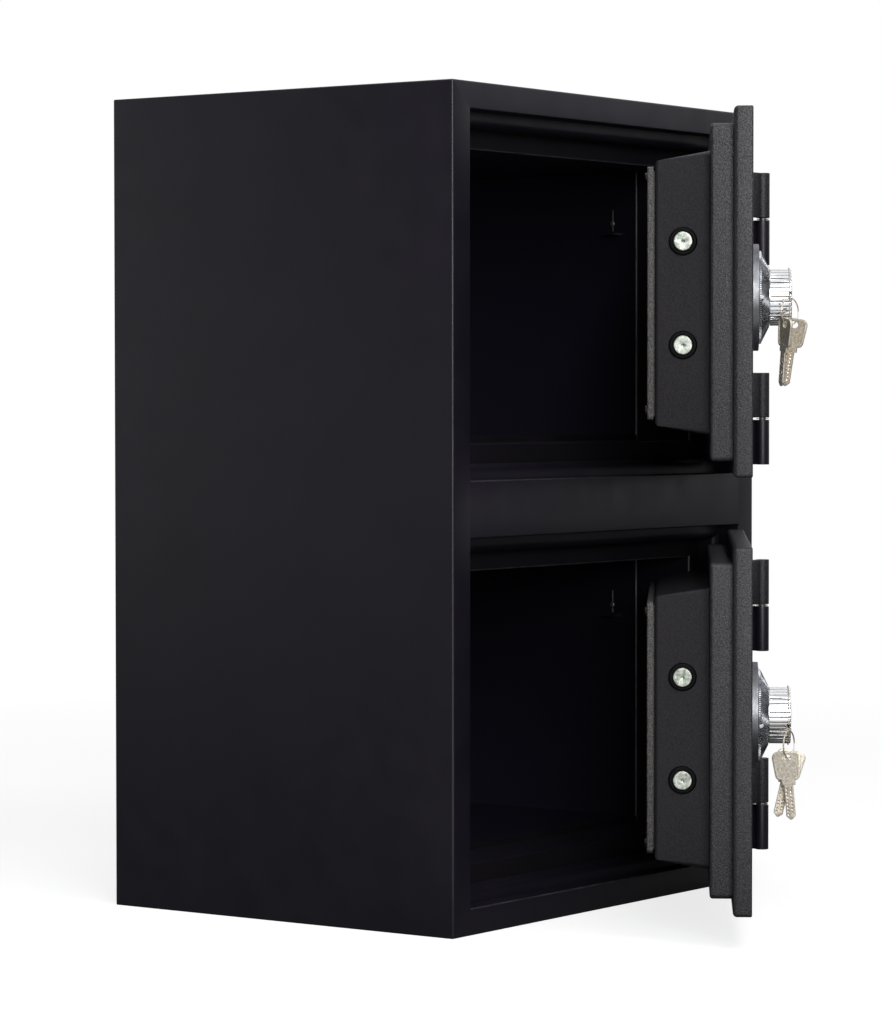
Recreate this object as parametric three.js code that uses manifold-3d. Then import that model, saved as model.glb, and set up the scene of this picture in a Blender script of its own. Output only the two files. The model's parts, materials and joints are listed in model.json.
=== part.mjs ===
// A fire-resisting safe: one steel body with two stacked compartments, each with its own stepped door.
// Millimetres, +Z up. The origin is the centre of the base. The doors face -Y and stand part open,
// with their hinges on the +X side.
import * as THREE from 'three';
import { mergeVertices } from 'three/addons/utils/BufferGeometryUtils.js';
import Module from 'manifold-3d';

const wasm = await Module();
wasm.setup();

// Cabinet
const cabinetWidth = 460;
const cabinetDepth = 350;
const cabinetHeight = 680;
const shellSheet = 3;
const shellBendRadius = 2;
const backSheet = 2;
const fitGap = 0.3;

// Front of the cabinet, round the two openings
const jambWidth = 24;
const lipHeight = 22;
const midRailHeight = 46;

// Stepped frame that each door closes into
const frameSheet = 2.5;
const firstRevealDepth = 16.5;
const shoulderWidth = 12.5;
const shoulderRoll = 6;
const secondRevealDepth = 17.5;
const flangeWidth = 16;
const flangeEdgeRadius = 1;
const tunnelDepth = 55;

// Inner boxes
const linerSheet = 1.5;
const rearInsulation = 50;
const linerFloorRise = 5;
const restDrop = 82;
const restSetback = 107.5;
const restWidth = 14;
const restReach = 8;
const restSheet = 1.5;
const restSlotHeight = 20;
const restSlotWidth = 2;

// Door plate, step and fill
const doorGap = 4;
const plateDepth = 15;
const plateSkin = 3;
const plateLedgeSheet = 2.5;
const plateFrontRadius = 1.2;
const plateRearRadius = 3.5;
const stepInset = 12.5;
const stepDepth = 17.5;
const stepSheet = 2.5;
const stepRearRadius = 2.5;

// Lock box behind the step
const lockBoxInset = 20;
const lockBoxDepth = 42.6;
const lockBoxTaper = 7.7;
const lockBoxSheet = 2;
const lockBoxFlange = 10;
const coverInset = 4;
const coverThickness = 4.8;
const coverEdgeRadius = 1;
const coverSeatInset = 3;
const coverSeatHeight = 1.2;

// Bolts and what carries them
const boltRadius = 7.5;
const boltEdgeChamfer = 0.8;
const boltSpacing = 81;
const boltDepth = 54;
const boltProtrusion = 2.4;
const boltLength = 46;
const boltSpigotRadius = 4;
const boltSpigotLength = 8;
const boltThrow = 16;
const boltHoleRadius = 9.5;
const boltPocketClearance = 8;
const collarRadius = 10.9;
const collarProtrusion = 2;
const guideThickness = 5;
const guideWidth = 24;
const guideOverhang = 16;
const carrierThickness = 6;
const carrierWidth = 16;
const carrierOverhang = 10;
const armHeight = 10;
const armThickness = 8;
const armReach = 27;

// Combination lock
const dialInset = 165;
const spindleRadius = 4;
const spindleHoleRadius = 6;
const lockCaseWidth = 70;
const lockCaseHeight = 84;
const lockCaseDepth = 32;
const lockCaseSheet = 2;
const lockWindowDrop = 12;
const lockWindowRise = 8;
const wheelRadius = 24;
const wheelHubRadius = 7;
const wheelThickness = 3;
const wheelPitch = 5;
const wheelCount = 3;
const wheelSetback = 6;
const gateWidth = 9;
const gateDepth = 7;
const camThickness = 3.5;
const camClearance = 1.5;
const fenceClearance = 0.8;
const fenceThickness = 4;
const fenceWidth = 5;
const leverPinRadius = 2;
const leverThickness = 3;

// Dial, its ring and the key plug
const ringRadius = 44;
const ringHeight = 9.3;
const ringFloor = 2.6;
const ringWall = 5.4;
const ringBevel = 0.8;
const dialRimHeight = 10.8;
const dialRimGap = 0.6;
const knobRadius = 23;
const knobBase = 17;
const knobEnd = 35;
const knobFlutes = 36;
const fluteDepth = 0.8;
const knobEndBevel = 1;
const spindleGrip = 12;
const plugRadius = 6;
const plugLength = 10;
const plugRecess = 0.6;
const keywayWidth = 2.4;
const keywayHeight = 8.4;
const keywayDepth = 8;

// Hinges
const hingeInset = 12;
const hingeStandoff = 17;
const topHingeDrop = 71.5;
const bottomHingeRise = 47.5;
const knuckleRadius = 6;
const knuckleLength = 39.5;
const knuckleCap = 2;
const pinRadius = 3;
const collarDiscRadius = 5.4;
const collarDiscThickness = 1.4;
const leafThickness = 4;
const doorLeafWidth = 30;
const doorLeafEdgeGap = 1;
const frameLeafWidth = 20;
const frameWebThickness = 7;

// Keys on their ring
const tieWireRadius = 0.5;
const eyeRadius = 2.6;
const beadRadius = 1.6;
const tieFromKnobEnd = 2.7;
const keyRingRadius = 11;
const keyRingWireRadius = 0.6;
const keySpread = 30;
const bowWidth = 23.5;
const bowHeight = 23.5;
const bowCorner = 5;
const bowTaper = 1.5;
const bowHoleWidth = 8;
const bowHoleHeight = 5.6;
const bowHoleHeadroom = 1.9;
const neckWidth = 11.5;
const neckHeight = 4;
const bladeLength = 32;
const bladeWidth = 7.5;
const bladeTip = 3;
const keyThickness = 2;

// How far the doors stand open, and how the two sets of keys hang, in degrees
const doorOpenAngle = 32;
const upperKeys = {
  eyeAngle: 0, eyeYaw: 90, ringYaw: 50,
  near: { side: -1, yaw: 66, tilt: 9 },
  far: { side: 1, yaw: 24, tilt: 9 },
};
const lowerKeys = {
  eyeAngle: 21, eyeYaw: 130, ringYaw: 65,
  near: { side: -1, yaw: 95, tilt: 13 },
  far: { side: 1, yaw: 78, tilt: -5 },
};
const doors = [
  { prefix: 'upper_', level: 1, keys: upperKeys },
  { prefix: 'lower_', level: 0, keys: lowerKeys },
];

// Faceting
const roundSegments = 20;
const largeRoundSegments = 48;
const ringSegments = 24;
const eyeSegments = 10;
const wireSegments = 6;
const beadSegments = 12;
const outlineSegments = 6;
const arcSteps = 3;
const cutOverrun = 1;
const mergeDistance = 1e-4;

// Sizes that follow from the ones above
const openingWidth = cabinetWidth - 2 * jambWidth;
const openingHeight = (cabinetHeight - 2 * lipHeight - midRailHeight) / 2;
const rollInset = shoulderWidth - shoulderRoll;
const rollDepth = firstRevealDepth + shoulderRoll;
const flangeDepth = firstRevealDepth + secondRevealDepth;
const tunnelInset = shoulderWidth + flangeWidth;
const tunnelEnd = flangeDepth + tunnelDepth;
const linerStart = tunnelEnd + fitGap;
const linerEnd = cabinetDepth - backSheet - rearInsulation;
const tunnelHalfWidth = openingWidth / 2 - tunnelInset;
const tunnelHalfHeight = openingHeight / 2 - tunnelInset;

const plateWidth = openingWidth - 2 * doorGap;
const plateHeight = openingHeight - 2 * doorGap;
const stepStart = plateDepth + fitGap;
const stepEnd = stepStart + stepDepth;
const boxStart = stepEnd + fitGap;
const boxEnd = boxStart + lockBoxDepth;
const boxInset = stepInset + lockBoxInset;
const seatStart = boxEnd + fitGap;
const coverStart = seatStart + coverSeatHeight;

const boxSlope = lockBoxTaper / lockBoxDepth;
const boxWallX = (depth) => -plateWidth / 2 + boxInset + boxSlope * (depth - boxStart);
const collarEnd = boxWallX(boltDepth) - collarProtrusion;
const boltTip = collarEnd - boltProtrusion;
const boltEnd = boltTip + boltLength;
const boltPocketEnd = boltTip - boltThrow - boltPocketClearance;
const guideFace = boxWallX(boltDepth + guideWidth / 2) + lockBoxSheet + fitGap;

const dialX = -plateWidth / 2 + dialInset;
const dialRadius = ringRadius - ringWall - dialRimGap;
const knobEndDepth = -knobEnd;
const caseStart = boxStart;
const wheelStart = caseStart + wheelSetback;
const wheelEnd = wheelStart + wheelCount * wheelPitch;
const camStart = wheelEnd + camClearance;
const camEnd = camStart + camThickness;
const fenceBottom = wheelRadius + fenceClearance;
const fenceTop = fenceBottom + fenceThickness;
const armZ = fenceTop + fenceThickness / 2;
const carrierStart = boltEnd + fitGap;
const carrierEnd = carrierStart + carrierThickness;
const leverPivotX = carrierEnd + armReach - armHeight / 2;
const boreRadius = spindleRadius + fitGap;

const hingeX = cabinetWidth / 2 - hingeInset;
const hinges = [
  { place: 'top', offset: openingHeight / 2 - topHingeDrop },
  { place: 'bottom', offset: -openingHeight / 2 + bottomHingeRise },
];
const openAngle = THREE.MathUtils.degToRad(doorOpenAngle);
const compartmentZ = (level) => lipHeight + openingHeight / 2 + level * (openingHeight + midRailHeight);

// Shared vertices are merged, empty triangles dropped and the faces turned outwards.
function closedSolid(geometry) {
  const bare = geometry.clone();
  bare.deleteAttribute('normal');
  bare.deleteAttribute('uv');
  const merged = mergeVertices(bare, mergeDistance);
  const place = merged.attributes.position;
  const pointAt = (_, i) => new THREE.Vector3().fromBufferAttribute(place, i);
  const points = Array.from({ length: place.count }, pointAt);
  const triangles = [];
  let volume = 0;
  for (let i = 0; i < merged.index.count; i += 3) {
    const [a, b, c] = [merged.index.getX(i), merged.index.getX(i + 1), merged.index.getX(i + 2)];
    if (a === b || b === c || c === a) continue;
    triangles.push([a, b, c]);
    volume += points[a].dot(points[b].clone().cross(points[c]));
  }
  const outward = volume < 0 ? triangles.map(([a, b, c]) => [a, c, b]) : triangles;
  const solid = new THREE.BufferGeometry().setFromPoints(points);
  solid.setIndex(outward.flat());
  return solid;
}

// Boolean joins and cuts
function toManifold(geometry) {
  const solid = closedSolid(geometry);
  const vertProperties = Float32Array.from(solid.attributes.position.array);
  const triVerts = Uint32Array.from(solid.index.array);
  return new wasm.Manifold(new wasm.Mesh({ numProp: 3, vertProperties, triVerts }));
}

function fromManifold(manifold) {
  const { vertProperties, triVerts } = manifold.getMesh();
  const geometry = new THREE.BufferGeometry();
  geometry.setAttribute('position', new THREE.BufferAttribute(vertProperties, 3));
  geometry.setIndex(new THREE.BufferAttribute(triVerts, 1));
  return geometry;
}

const join = (first, ...rest) =>
  fromManifold(rest.reduce((whole, piece) => whole.add(toManifold(piece)), toManifold(first)));
const cut = (first, ...rest) =>
  fromManifold(rest.reduce((whole, piece) => whole.subtract(toManifold(piece)), toManifold(first)));

// A block between two values along each axis
function block([left, right], [front, rear], [bottom, top]) {
  const geometry = new THREE.BoxGeometry(right - left, rear - front, top - bottom);
  return geometry.translate((left + right) / 2, (front + rear) / 2, (bottom + top) / 2);
}

// Rows of [inset, depth] are carried round a rectangle in the XZ plane with mitred corners.
// Depth runs along +Y, and a negative inset lies outside the rectangle.
const cornerSigns = [[1, 1], [-1, 1], [-1, -1], [1, -1]];

function mitredSurface(width, height, rows, endless) {
  const points = rows.flatMap(([inset, depth]) => cornerSigns.map(([signX, signZ]) =>
    new THREE.Vector3(signX * (width / 2 - inset), depth, signZ * (height / 2 - inset))));
  const index = [];
  const spans = endless ? rows.length : rows.length - 1;
  for (let row = 0; row < spans; row += 1) {
    const next = (row + 1) % rows.length;
    for (let side = 0; side < 4; side += 1) {
      const turn = (side + 1) % 4;
      index.push(4 * row + side, 4 * row + turn, 4 * next + turn);
      index.push(4 * row + side, 4 * next + turn, 4 * next + side);
    }
  }
  if (!endless) {
    const last = 4 * (rows.length - 1);
    index.push(0, 2, 1, 0, 3, 2, last, last + 1, last + 2, last, last + 2, last + 3);
  }
  const geometry = new THREE.BufferGeometry().setFromPoints(points);
  geometry.setIndex(index);
  return closedSolid(geometry);
}

const mitredRing = (width, height, rows) => mitredSurface(width, height, rows, true);
const mitredStack = (width, height, rows) => mitredSurface(width, height, rows, false);

// Points of a round edge in a row list, from one angle to another, in degrees
function roundEdge(centreInset, centreDepth, radius, fromAngle, toAngle) {
  return Array.from({ length: arcSteps + 1 }, (_, step) => {
    const angle = THREE.MathUtils.degToRad(fromAngle + (toAngle - fromAngle) * step / arcSteps);
    return [centreInset + radius * Math.cos(angle), centreDepth + radius * Math.sin(angle)];
  });
}

// A body turned about the Y axis from [radius, depth] points
function turned(profile, segments = roundSegments) {
  const points = profile.map(([radius, depth]) => new THREE.Vector2(radius, depth));
  return closedSolid(new THREE.LatheGeometry(points, segments));
}

const rod = (radius, from, to) => turned([[0, from], [radius, from], [radius, to], [0, to]]);
const alongX = (geometry) => geometry.rotateZ(-Math.PI / 2);
const alongZ = (geometry) => geometry.rotateX(Math.PI / 2);

// An outline in the XZ plane with a depth along +Y
function outlineSlab(shape, from, to) {
  const geometry = new THREE.ExtrudeGeometry(shape,
    { depth: to - from, bevelEnabled: false, curveSegments: outlineSegments });
  return closedSolid(geometry.rotateX(Math.PI / 2).translate(0, to, 0));
}

// Cabinet. Depth 0 is the front face, and height 0 is the base.
function outerShell() {
  const body = mitredStack(cabinetWidth, cabinetHeight, [
    ...roundEdge(shellBendRadius, shellBendRadius, shellBendRadius, 270, 180),
    [0, cabinetDepth],
  ]).translate(0, 0, cabinetHeight / 2);
  const innerHalf = cabinetWidth / 2 - shellSheet;
  const hollow = block([-innerHalf, innerHalf], [shellSheet, cabinetDepth + cutOverrun],
    [shellSheet, cabinetHeight - shellSheet]);
  const openings = doors.map(({ level }) => {
    const z = compartmentZ(level);
    return block([-openingWidth / 2, openingWidth / 2], [-cutOverrun, shellSheet + cutOverrun],
      [z - openingHeight / 2, z + openingHeight / 2]);
  });
  return cut(body, hollow, ...openings);
}

function backPanel() {
  const edge = shellSheet + fitGap;
  return block([-cabinetWidth / 2 + edge, cabinetWidth / 2 - edge], [cabinetDepth - backSheet, cabinetDepth],
    [edge, cabinetHeight - edge]);
}

// The frame's section, from the front along the visible side and back along the hidden side
function doorFrame(level) {
  const frontEdge = shellSheet + fitGap;
  const hiddenShoulder = firstRevealDepth + frameSheet;
  const hiddenFlange = flangeDepth + frameSheet;
  const section = [
    [0, frontEdge],
    [0, firstRevealDepth],
    ...roundEdge(rollInset, rollDepth, shoulderRoll, 270, 360),
    [shoulderWidth, flangeDepth],
    ...roundEdge(tunnelInset - flangeEdgeRadius, flangeDepth + flangeEdgeRadius, flangeEdgeRadius, 270, 360),
    [tunnelInset, tunnelEnd],
    [tunnelInset - frameSheet, tunnelEnd],
    [tunnelInset - frameSheet, hiddenFlange],
    [shoulderWidth - frameSheet, hiddenFlange],
    ...roundEdge(rollInset, rollDepth, shoulderRoll - frameSheet, 360, 270),
    [-frameSheet, hiddenShoulder],
    [-frameSheet, frontEdge],
  ];
  const holes = [-1, 1].map((side) =>
    alongX(rod(boltHoleRadius, -tunnelHalfWidth - frameSheet - cutOverrun, -tunnelHalfWidth + cutOverrun))
      .translate(0, boltDepth, side * boltSpacing / 2));
  return cut(mitredRing(openingWidth, openingHeight, section), ...holes).translate(0, 0, compartmentZ(level));
}

// Inner box, with a pressed-out shelf rest and its slot on each side wall
function liner(level) {
  const top = tunnelHalfHeight;
  const bottom = -tunnelHalfHeight + linerFloorRise;
  const outside = block([-tunnelHalfWidth - linerSheet, tunnelHalfWidth + linerSheet], [linerStart, linerEnd],
    [bottom - linerSheet, top + linerSheet]);
  const inside = block([-tunnelHalfWidth, tunnelHalfWidth], [linerStart - cutOverrun, linerEnd - linerSheet],
    [bottom, top]);
  const restTop = openingHeight / 2 - restDrop;
  const restMiddle = restSetback + restWidth / 2;
  const rests = [-1, 1].map((side) => {
    const edges = [side * (tunnelHalfWidth - restReach), side * (tunnelHalfWidth + linerSheet / 2)];
    return block([Math.min(...edges), Math.max(...edges)], [restSetback, restSetback + restWidth],
      [restTop - restSheet, restTop]);
  });
  const slotEdge = tunnelHalfWidth + linerSheet + cutOverrun;
  const slot = block([-slotEdge, slotEdge],
    [restMiddle - restSlotWidth / 2, restMiddle + restSlotWidth / 2],
    [restTop + restSheet, restTop + restSheet + restSlotHeight]);
  return cut(join(cut(outside, inside), ...rests), slot).translate(0, 0, compartmentZ(level));
}

// Cast fill, which leaves room for both frames, both liners and the ends of the thrown bolts
function insulationFill() {
  const edge = shellSheet + fitGap;
  const cast = block([-cabinetWidth / 2 + edge, cabinetWidth / 2 - edge],
    [edge, cabinetDepth - backSheet - fitGap], [edge, cabinetHeight - edge]);
  const clear = frameSheet + fitGap;
  const pockets = doors.flatMap(({ level }) => {
    const z = compartmentZ(level);
    const stepped = mitredStack(openingWidth, openingHeight, [
      [-clear, 0],
      [-clear, firstRevealDepth + clear],
      ...roundEdge(rollInset, rollDepth, shoulderRoll - clear, 270, 360),
      [shoulderWidth - clear, flangeDepth + clear],
      [tunnelInset - clear, flangeDepth + clear],
      [tunnelInset - clear, linerStart],
    ]).translate(0, 0, z);
    const around = linerSheet + fitGap;
    const box = block([-tunnelHalfWidth - around, tunnelHalfWidth + around],
      [linerStart - cutOverrun, linerEnd + fitGap],
      [z - tunnelHalfHeight + linerFloorRise - around, z + tunnelHalfHeight + around]);
    const boltEnds = [-1, 1].map((side) =>
      alongX(rod(boltHoleRadius, boltPocketEnd, -tunnelHalfWidth))
        .translate(0, boltDepth, z + side * boltSpacing / 2));
    return [stepped, box, ...boltEnds];
  });
  return cut(cast, ...pockets);
}

// Door. Depth 0 is the outer face of the closed door, x is measured as on the cabinet,
// and height 0 is the door's middle.
const spindlePassage = () =>
  rod(spindleHoleRadius, -cutOverrun, boxEnd).translate(dialX, 0, 0);

function doorPlate() {
  const body = mitredStack(plateWidth, plateHeight, [
    ...roundEdge(plateFrontRadius, plateFrontRadius, plateFrontRadius, 270, 180),
    ...roundEdge(plateRearRadius, plateDepth - plateRearRadius, plateRearRadius, 180, 90),
  ]);
  const hollow = mitredStack(plateWidth, plateHeight, [
    [plateSkin, plateSkin],
    [plateSkin, plateDepth - plateLedgeSheet],
    [stepInset + stepSheet, plateDepth - plateLedgeSheet],
    [stepInset + stepSheet, plateDepth + cutOverrun],
  ]);
  return cut(body, hollow, spindlePassage());
}

function doorStep() {
  const body = mitredStack(plateWidth, plateHeight, [
    [stepInset, stepStart],
    ...roundEdge(stepInset + stepRearRadius, stepEnd - stepRearRadius, stepRearRadius, 180, 90),
  ]);
  const hollow = mitredStack(plateWidth, plateHeight, [
    [stepInset + stepSheet, stepStart - cutOverrun],
    [stepInset + stepSheet, stepEnd - stepSheet],
  ]);
  return cut(body, hollow, spindlePassage());
}

function doorFill() {
  const wide = plateSkin + fitGap;
  const narrow = stepInset + stepSheet + fitGap;
  const cast = mitredStack(plateWidth, plateHeight, [
    [wide, plateSkin + fitGap],
    [wide, plateDepth - plateLedgeSheet - fitGap],
    [narrow, plateDepth - plateLedgeSheet - fitGap],
    [narrow, stepEnd - stepSheet - fitGap],
  ]);
  return cut(cast, spindlePassage());
}

function lockBox() {
  const rearInset = boxInset + lockBoxTaper;
  const walls = mitredRing(plateWidth, plateHeight, [
    [boxInset, boxStart],
    [rearInset, boxEnd],
    [rearInset + lockBoxFlange, boxEnd],
    [rearInset + lockBoxFlange, boxEnd - lockBoxSheet],
    [rearInset + lockBoxSheet, boxEnd - lockBoxSheet],
    [boxInset + lockBoxSheet, boxStart],
  ]);
  const holes = [-1, 1].map((side) =>
    alongX(rod(collarRadius + fitGap, collarEnd - cutOverrun, guideFace + cutOverrun))
      .translate(0, boltDepth, side * boltSpacing / 2));
  return cut(walls, ...holes);
}

function lockBoxCover() {
  const edge = boxInset + lockBoxTaper + coverInset;
  const rear = coverStart + coverThickness;
  return mitredStack(plateWidth, plateHeight, [
    [edge + coverSeatInset, seatStart],
    [edge + coverSeatInset, coverStart],
    [edge, coverStart],
    ...roundEdge(edge + coverEdgeRadius, rear - coverEdgeRadius, coverEdgeRadius, 180, 90),
  ]);
}

function boltGuide() {
  const strip = block([guideFace, guideFace + guideThickness],
    [boltDepth - guideWidth / 2, boltDepth + guideWidth / 2],
    [-boltSpacing / 2 - guideOverhang, boltSpacing / 2 + guideOverhang]);
  const sides = [-1, 1].map((side) => side * boltSpacing / 2);
  const collars = sides.map((z) =>
    alongX(rod(collarRadius, collarEnd, guideFace + guideThickness / 2)).translate(0, boltDepth, z));
  const bores = sides.map((z) =>
    alongX(rod(boltRadius + fitGap, collarEnd - cutOverrun, guideFace + guideThickness + cutOverrun))
      .translate(0, boltDepth, z));
  return cut(join(strip, ...collars), ...bores);
}

function bolt(side) {
  return alongX(turned([
    [0, boltTip],
    [boltRadius - boltEdgeChamfer, boltTip],
    [boltRadius, boltTip + boltEdgeChamfer],
    [boltRadius, boltEnd],
    [boltSpigotRadius, boltEnd],
    [boltSpigotRadius, boltEnd + boltSpigotLength],
    [0, boltEnd + boltSpigotLength],
  ])).translate(0, boltDepth, side * boltSpacing / 2);
}

function boltCarrier() {
  const depths = [boltDepth - carrierWidth / 2, boltDepth + carrierWidth / 2];
  const bar = block([carrierStart, carrierEnd], depths,
    [-boltSpacing / 2 - carrierOverhang, boltSpacing / 2 + carrierOverhang]);
  const arm = block([carrierStart, carrierEnd + armReach],
    [boltDepth - armThickness / 2, boltDepth + armThickness / 2],
    [armZ - armHeight / 2, armZ + armHeight / 2]);
  const spigotHoles = [-1, 1].map((side) =>
    alongX(rod(boltSpigotRadius + fitGap, carrierStart - cutOverrun, carrierEnd + cutOverrun))
      .translate(0, boltDepth, side * boltSpacing / 2));
  const pivotHole = rod(leverPinRadius + fitGap, boltDepth - armThickness, boltDepth + armThickness)
    .translate(leverPivotX, 0, armZ);
  return cut(join(bar, arm), ...spigotHoles, pivotHole);
}

// The lever lies behind the arm, and its fence reaches across the rims of all the wheels.
function fenceLever() {
  const leverFront = boltDepth + armThickness / 2 + fitGap;
  const leverRear = leverFront + leverThickness;
  const lever = block([leverPivotX - armHeight / 2, dialX + fenceWidth / 2], [leverFront, leverRear],
    [fenceTop, fenceTop + fenceThickness]);
  const fence = block([dialX - fenceWidth / 2, dialX + fenceWidth / 2], [wheelStart, leverRear],
    [fenceBottom, fenceTop + fenceThickness / 2]);
  const pin = rod(leverPinRadius, boltDepth - armThickness / 2, leverRear - leverThickness / 2)
    .translate(leverPivotX, 0, armZ);
  return join(lever, fence, pin);
}

function lockCase() {
  const halfWidth = lockCaseWidth / 2;
  const halfHeight = lockCaseHeight / 2;
  const rear = caseStart + lockCaseDepth;
  const body = block([dialX - halfWidth, dialX + halfWidth], [caseStart, rear], [-halfHeight, halfHeight]);
  const innerWidth = halfWidth - lockCaseSheet;
  const innerHeight = halfHeight - lockCaseSheet;
  const hollow = block([dialX - innerWidth, dialX + innerWidth],
    [caseStart + lockCaseSheet, rear + cutOverrun], [-innerHeight, innerHeight]);
  const window = block([dialX - halfWidth - cutOverrun, dialX - innerWidth + cutOverrun],
    [wheelStart, rear + cutOverrun], [armZ - lockWindowDrop, armZ + lockWindowRise]);
  return cut(body, hollow, window, spindlePassage());
}

const gateNotch = (front, rear) =>
  block([-gateWidth / 2, gateWidth / 2], [front, rear], [wheelRadius - gateDepth, wheelRadius + cutOverrun]);

function wheelPack() {
  const rim = Array.from({ length: wheelCount }, (_, index) => {
    const front = wheelStart + index * wheelPitch + (wheelPitch - wheelThickness) / 2;
    const rear = front + wheelThickness;
    return [[wheelHubRadius, front], [wheelRadius, front], [wheelRadius, rear], [wheelHubRadius, rear]];
  }).flat();
  const pack = turned([
    [boreRadius, wheelStart], [wheelHubRadius, wheelStart], ...rim,
    [wheelHubRadius, wheelEnd], [boreRadius, wheelEnd], [boreRadius, wheelStart],
  ]);
  return cut(pack, gateNotch(wheelStart, wheelEnd)).translate(dialX, 0, 0);
}

function spindle() {
  const shaft = turned([
    [0, -spindleGrip], [spindleRadius, -spindleGrip], [spindleRadius, camStart],
    [wheelRadius, camStart], [wheelRadius, camEnd], [0, camEnd],
  ]);
  return cut(shaft, gateNotch(camStart - cutOverrun, camEnd + cutOverrun)).translate(dialX, 0, 0);
}

function dialRing() {
  const inner = ringRadius - ringWall;
  return turned([
    [spindleHoleRadius, -fitGap],
    [ringRadius, -fitGap],
    [ringRadius, -ringHeight + ringBevel],
    [ringRadius - ringBevel, -ringHeight],
    [inner, -ringHeight],
    [inner, -ringFloor],
    [spindleHoleRadius, -ringFloor],
    [spindleHoleRadius, -fitGap],
  ], largeRoundSegments).translate(dialX, 0, 0);
}

// Graduated disc with its conical face, and the fluted knob that stands on it
function dial() {
  const disc = turned([
    [0, -ringFloor - fitGap],
    [dialRadius, -ringFloor - fitGap],
    [dialRadius, -dialRimHeight],
    [knobRadius - fluteDepth, -knobBase],
    [0, -knobBase],
  ], largeRoundSegments);
  const flutedShape = (outerRadius) => {
    const points = Array.from({ length: 2 * knobFlutes }, (_, i) => {
      const radius = i % 2 ? outerRadius : outerRadius - fluteDepth;
      const angle = Math.PI * i / knobFlutes;
      return new THREE.Vector2(radius * Math.cos(angle), radius * Math.sin(angle));
    });
    return new THREE.Shape(points);
  };
  const gripEnd = knobEndDepth + knobEndBevel;
  const grip = outlineSlab(flutedShape(knobRadius), gripEnd, -knobBase + cutOverrun);
  const end = outlineSlab(flutedShape(knobRadius - knobEndBevel), knobEndDepth, gripEnd + cutOverrun);
  const spindleBore = rod(boreRadius, -spindleGrip - fitGap, 0);
  const plugBore = rod(plugRadius + fitGap, knobEndDepth - cutOverrun,
    knobEndDepth + plugRecess + plugLength + fitGap);
  return cut(join(disc, grip, end), spindleBore, plugBore).translate(dialX, 0, 0);
}

function keyPlug() {
  const front = knobEndDepth + plugRecess;
  const keyway = block([-keywayWidth / 2, keywayWidth / 2], [front - cutOverrun, front + keywayDepth],
    [-keywayHeight / 2, keywayHeight / 2]);
  return cut(rod(plugRadius, front, front + plugLength), keyway).translate(dialX, 0, 0);
}

// Hinges. The knuckles turn about an upright axis in front of the jamb.
const knuckleStart = collarDiscThickness / 2 + fitGap;

function extrudeUp(corners, bottom, top) {
  const shape = new THREE.Shape(corners.map(([x, depth]) => new THREE.Vector2(x, depth)));
  const geometry = new THREE.ExtrudeGeometry(shape, { depth: top - bottom, bevelEnabled: false });
  return closedSolid(geometry.translate(0, 0, bottom));
}

function knuckle(bottom, top) {
  return alongZ(rod(knuckleRadius, bottom, top)).translate(hingeX, -hingeStandoff, 0);
}

function hingeDoorLeaf(z) {
  const top = knuckleStart + knuckleLength;
  const edge = plateWidth / 2 - doorLeafEdgeGap;
  const armHalf = leafThickness / 2;
  const leaf = extrudeUp([
    [edge - doorLeafWidth, -fitGap],
    [edge, -fitGap],
    [hingeX, -hingeStandoff + armHalf],
    [hingeX, -hingeStandoff - armHalf],
    [edge - leafThickness, -fitGap - leafThickness],
    [edge - doorLeafWidth, -fitGap - leafThickness],
  ], knuckleStart, top);
  const bore = alongZ(rod(pinRadius + fitGap, knuckleStart - cutOverrun, top - knuckleCap))
    .translate(hingeX, -hingeStandoff, 0);
  return cut(join(leaf, knuckle(knuckleStart, top)), bore).translate(0, 0, z);
}

function hingeFrameLeaf(z) {
  const bottom = -knuckleStart - knuckleLength;
  const foot = block([hingeX - frameLeafWidth / 2, hingeX + frameLeafWidth / 2],
    [-fitGap - leafThickness, -fitGap], [bottom, -knuckleStart]);
  const web = block([hingeX - frameWebThickness / 2, hingeX + frameWebThickness / 2],
    [-hingeStandoff, -fitGap], [bottom, -knuckleStart]);
  const bore = alongZ(rod(pinRadius + fitGap, bottom + knuckleCap, -knuckleStart + cutOverrun))
    .translate(hingeX, -hingeStandoff, 0);
  return cut(join(foot, web, knuckle(bottom, -knuckleStart)), bore).translate(0, 0, z);
}

function hingePin(z) {
  const reach = knuckleStart + knuckleLength - knuckleCap - fitGap;
  const half = collarDiscThickness / 2;
  return alongZ(turned([
    [0, -reach], [pinRadius, -reach], [pinRadius, -half], [collarDiscRadius, -half],
    [collarDiscRadius, half], [pinRadius, half], [pinRadius, reach], [0, reach],
  ])).translate(hingeX, -hingeStandoff, z);
}

// Keys. The wire tie holds an eye on the side of the knob that faces the door's free edge,
// the ring hangs in the eye, and the keys hang on the ring.
const degrees = THREE.MathUtils.degToRad;
const tieRadius = knobRadius + fitGap + tieWireRadius;
const tieDepth = knobEndDepth + tieFromKnobEnd;
const eyeDistance = tieRadius + eyeRadius;
const beadDistance = knobRadius + 2 * fitGap + beadRadius;

function eyePlace({ eyeAngle }) {
  const angle = degrees(eyeAngle);
  return new THREE.Vector3(dialX - eyeDistance * Math.cos(angle), tieDepth, -eyeDistance * Math.sin(angle));
}

function hoop(radius, wireRadius, segments) {
  return new THREE.TorusGeometry(radius, wireRadius, wireSegments, segments);
}

const upright = (geometry, yaw) => geometry.rotateX(Math.PI / 2).rotateZ(degrees(yaw) - Math.PI / 2);

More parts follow.
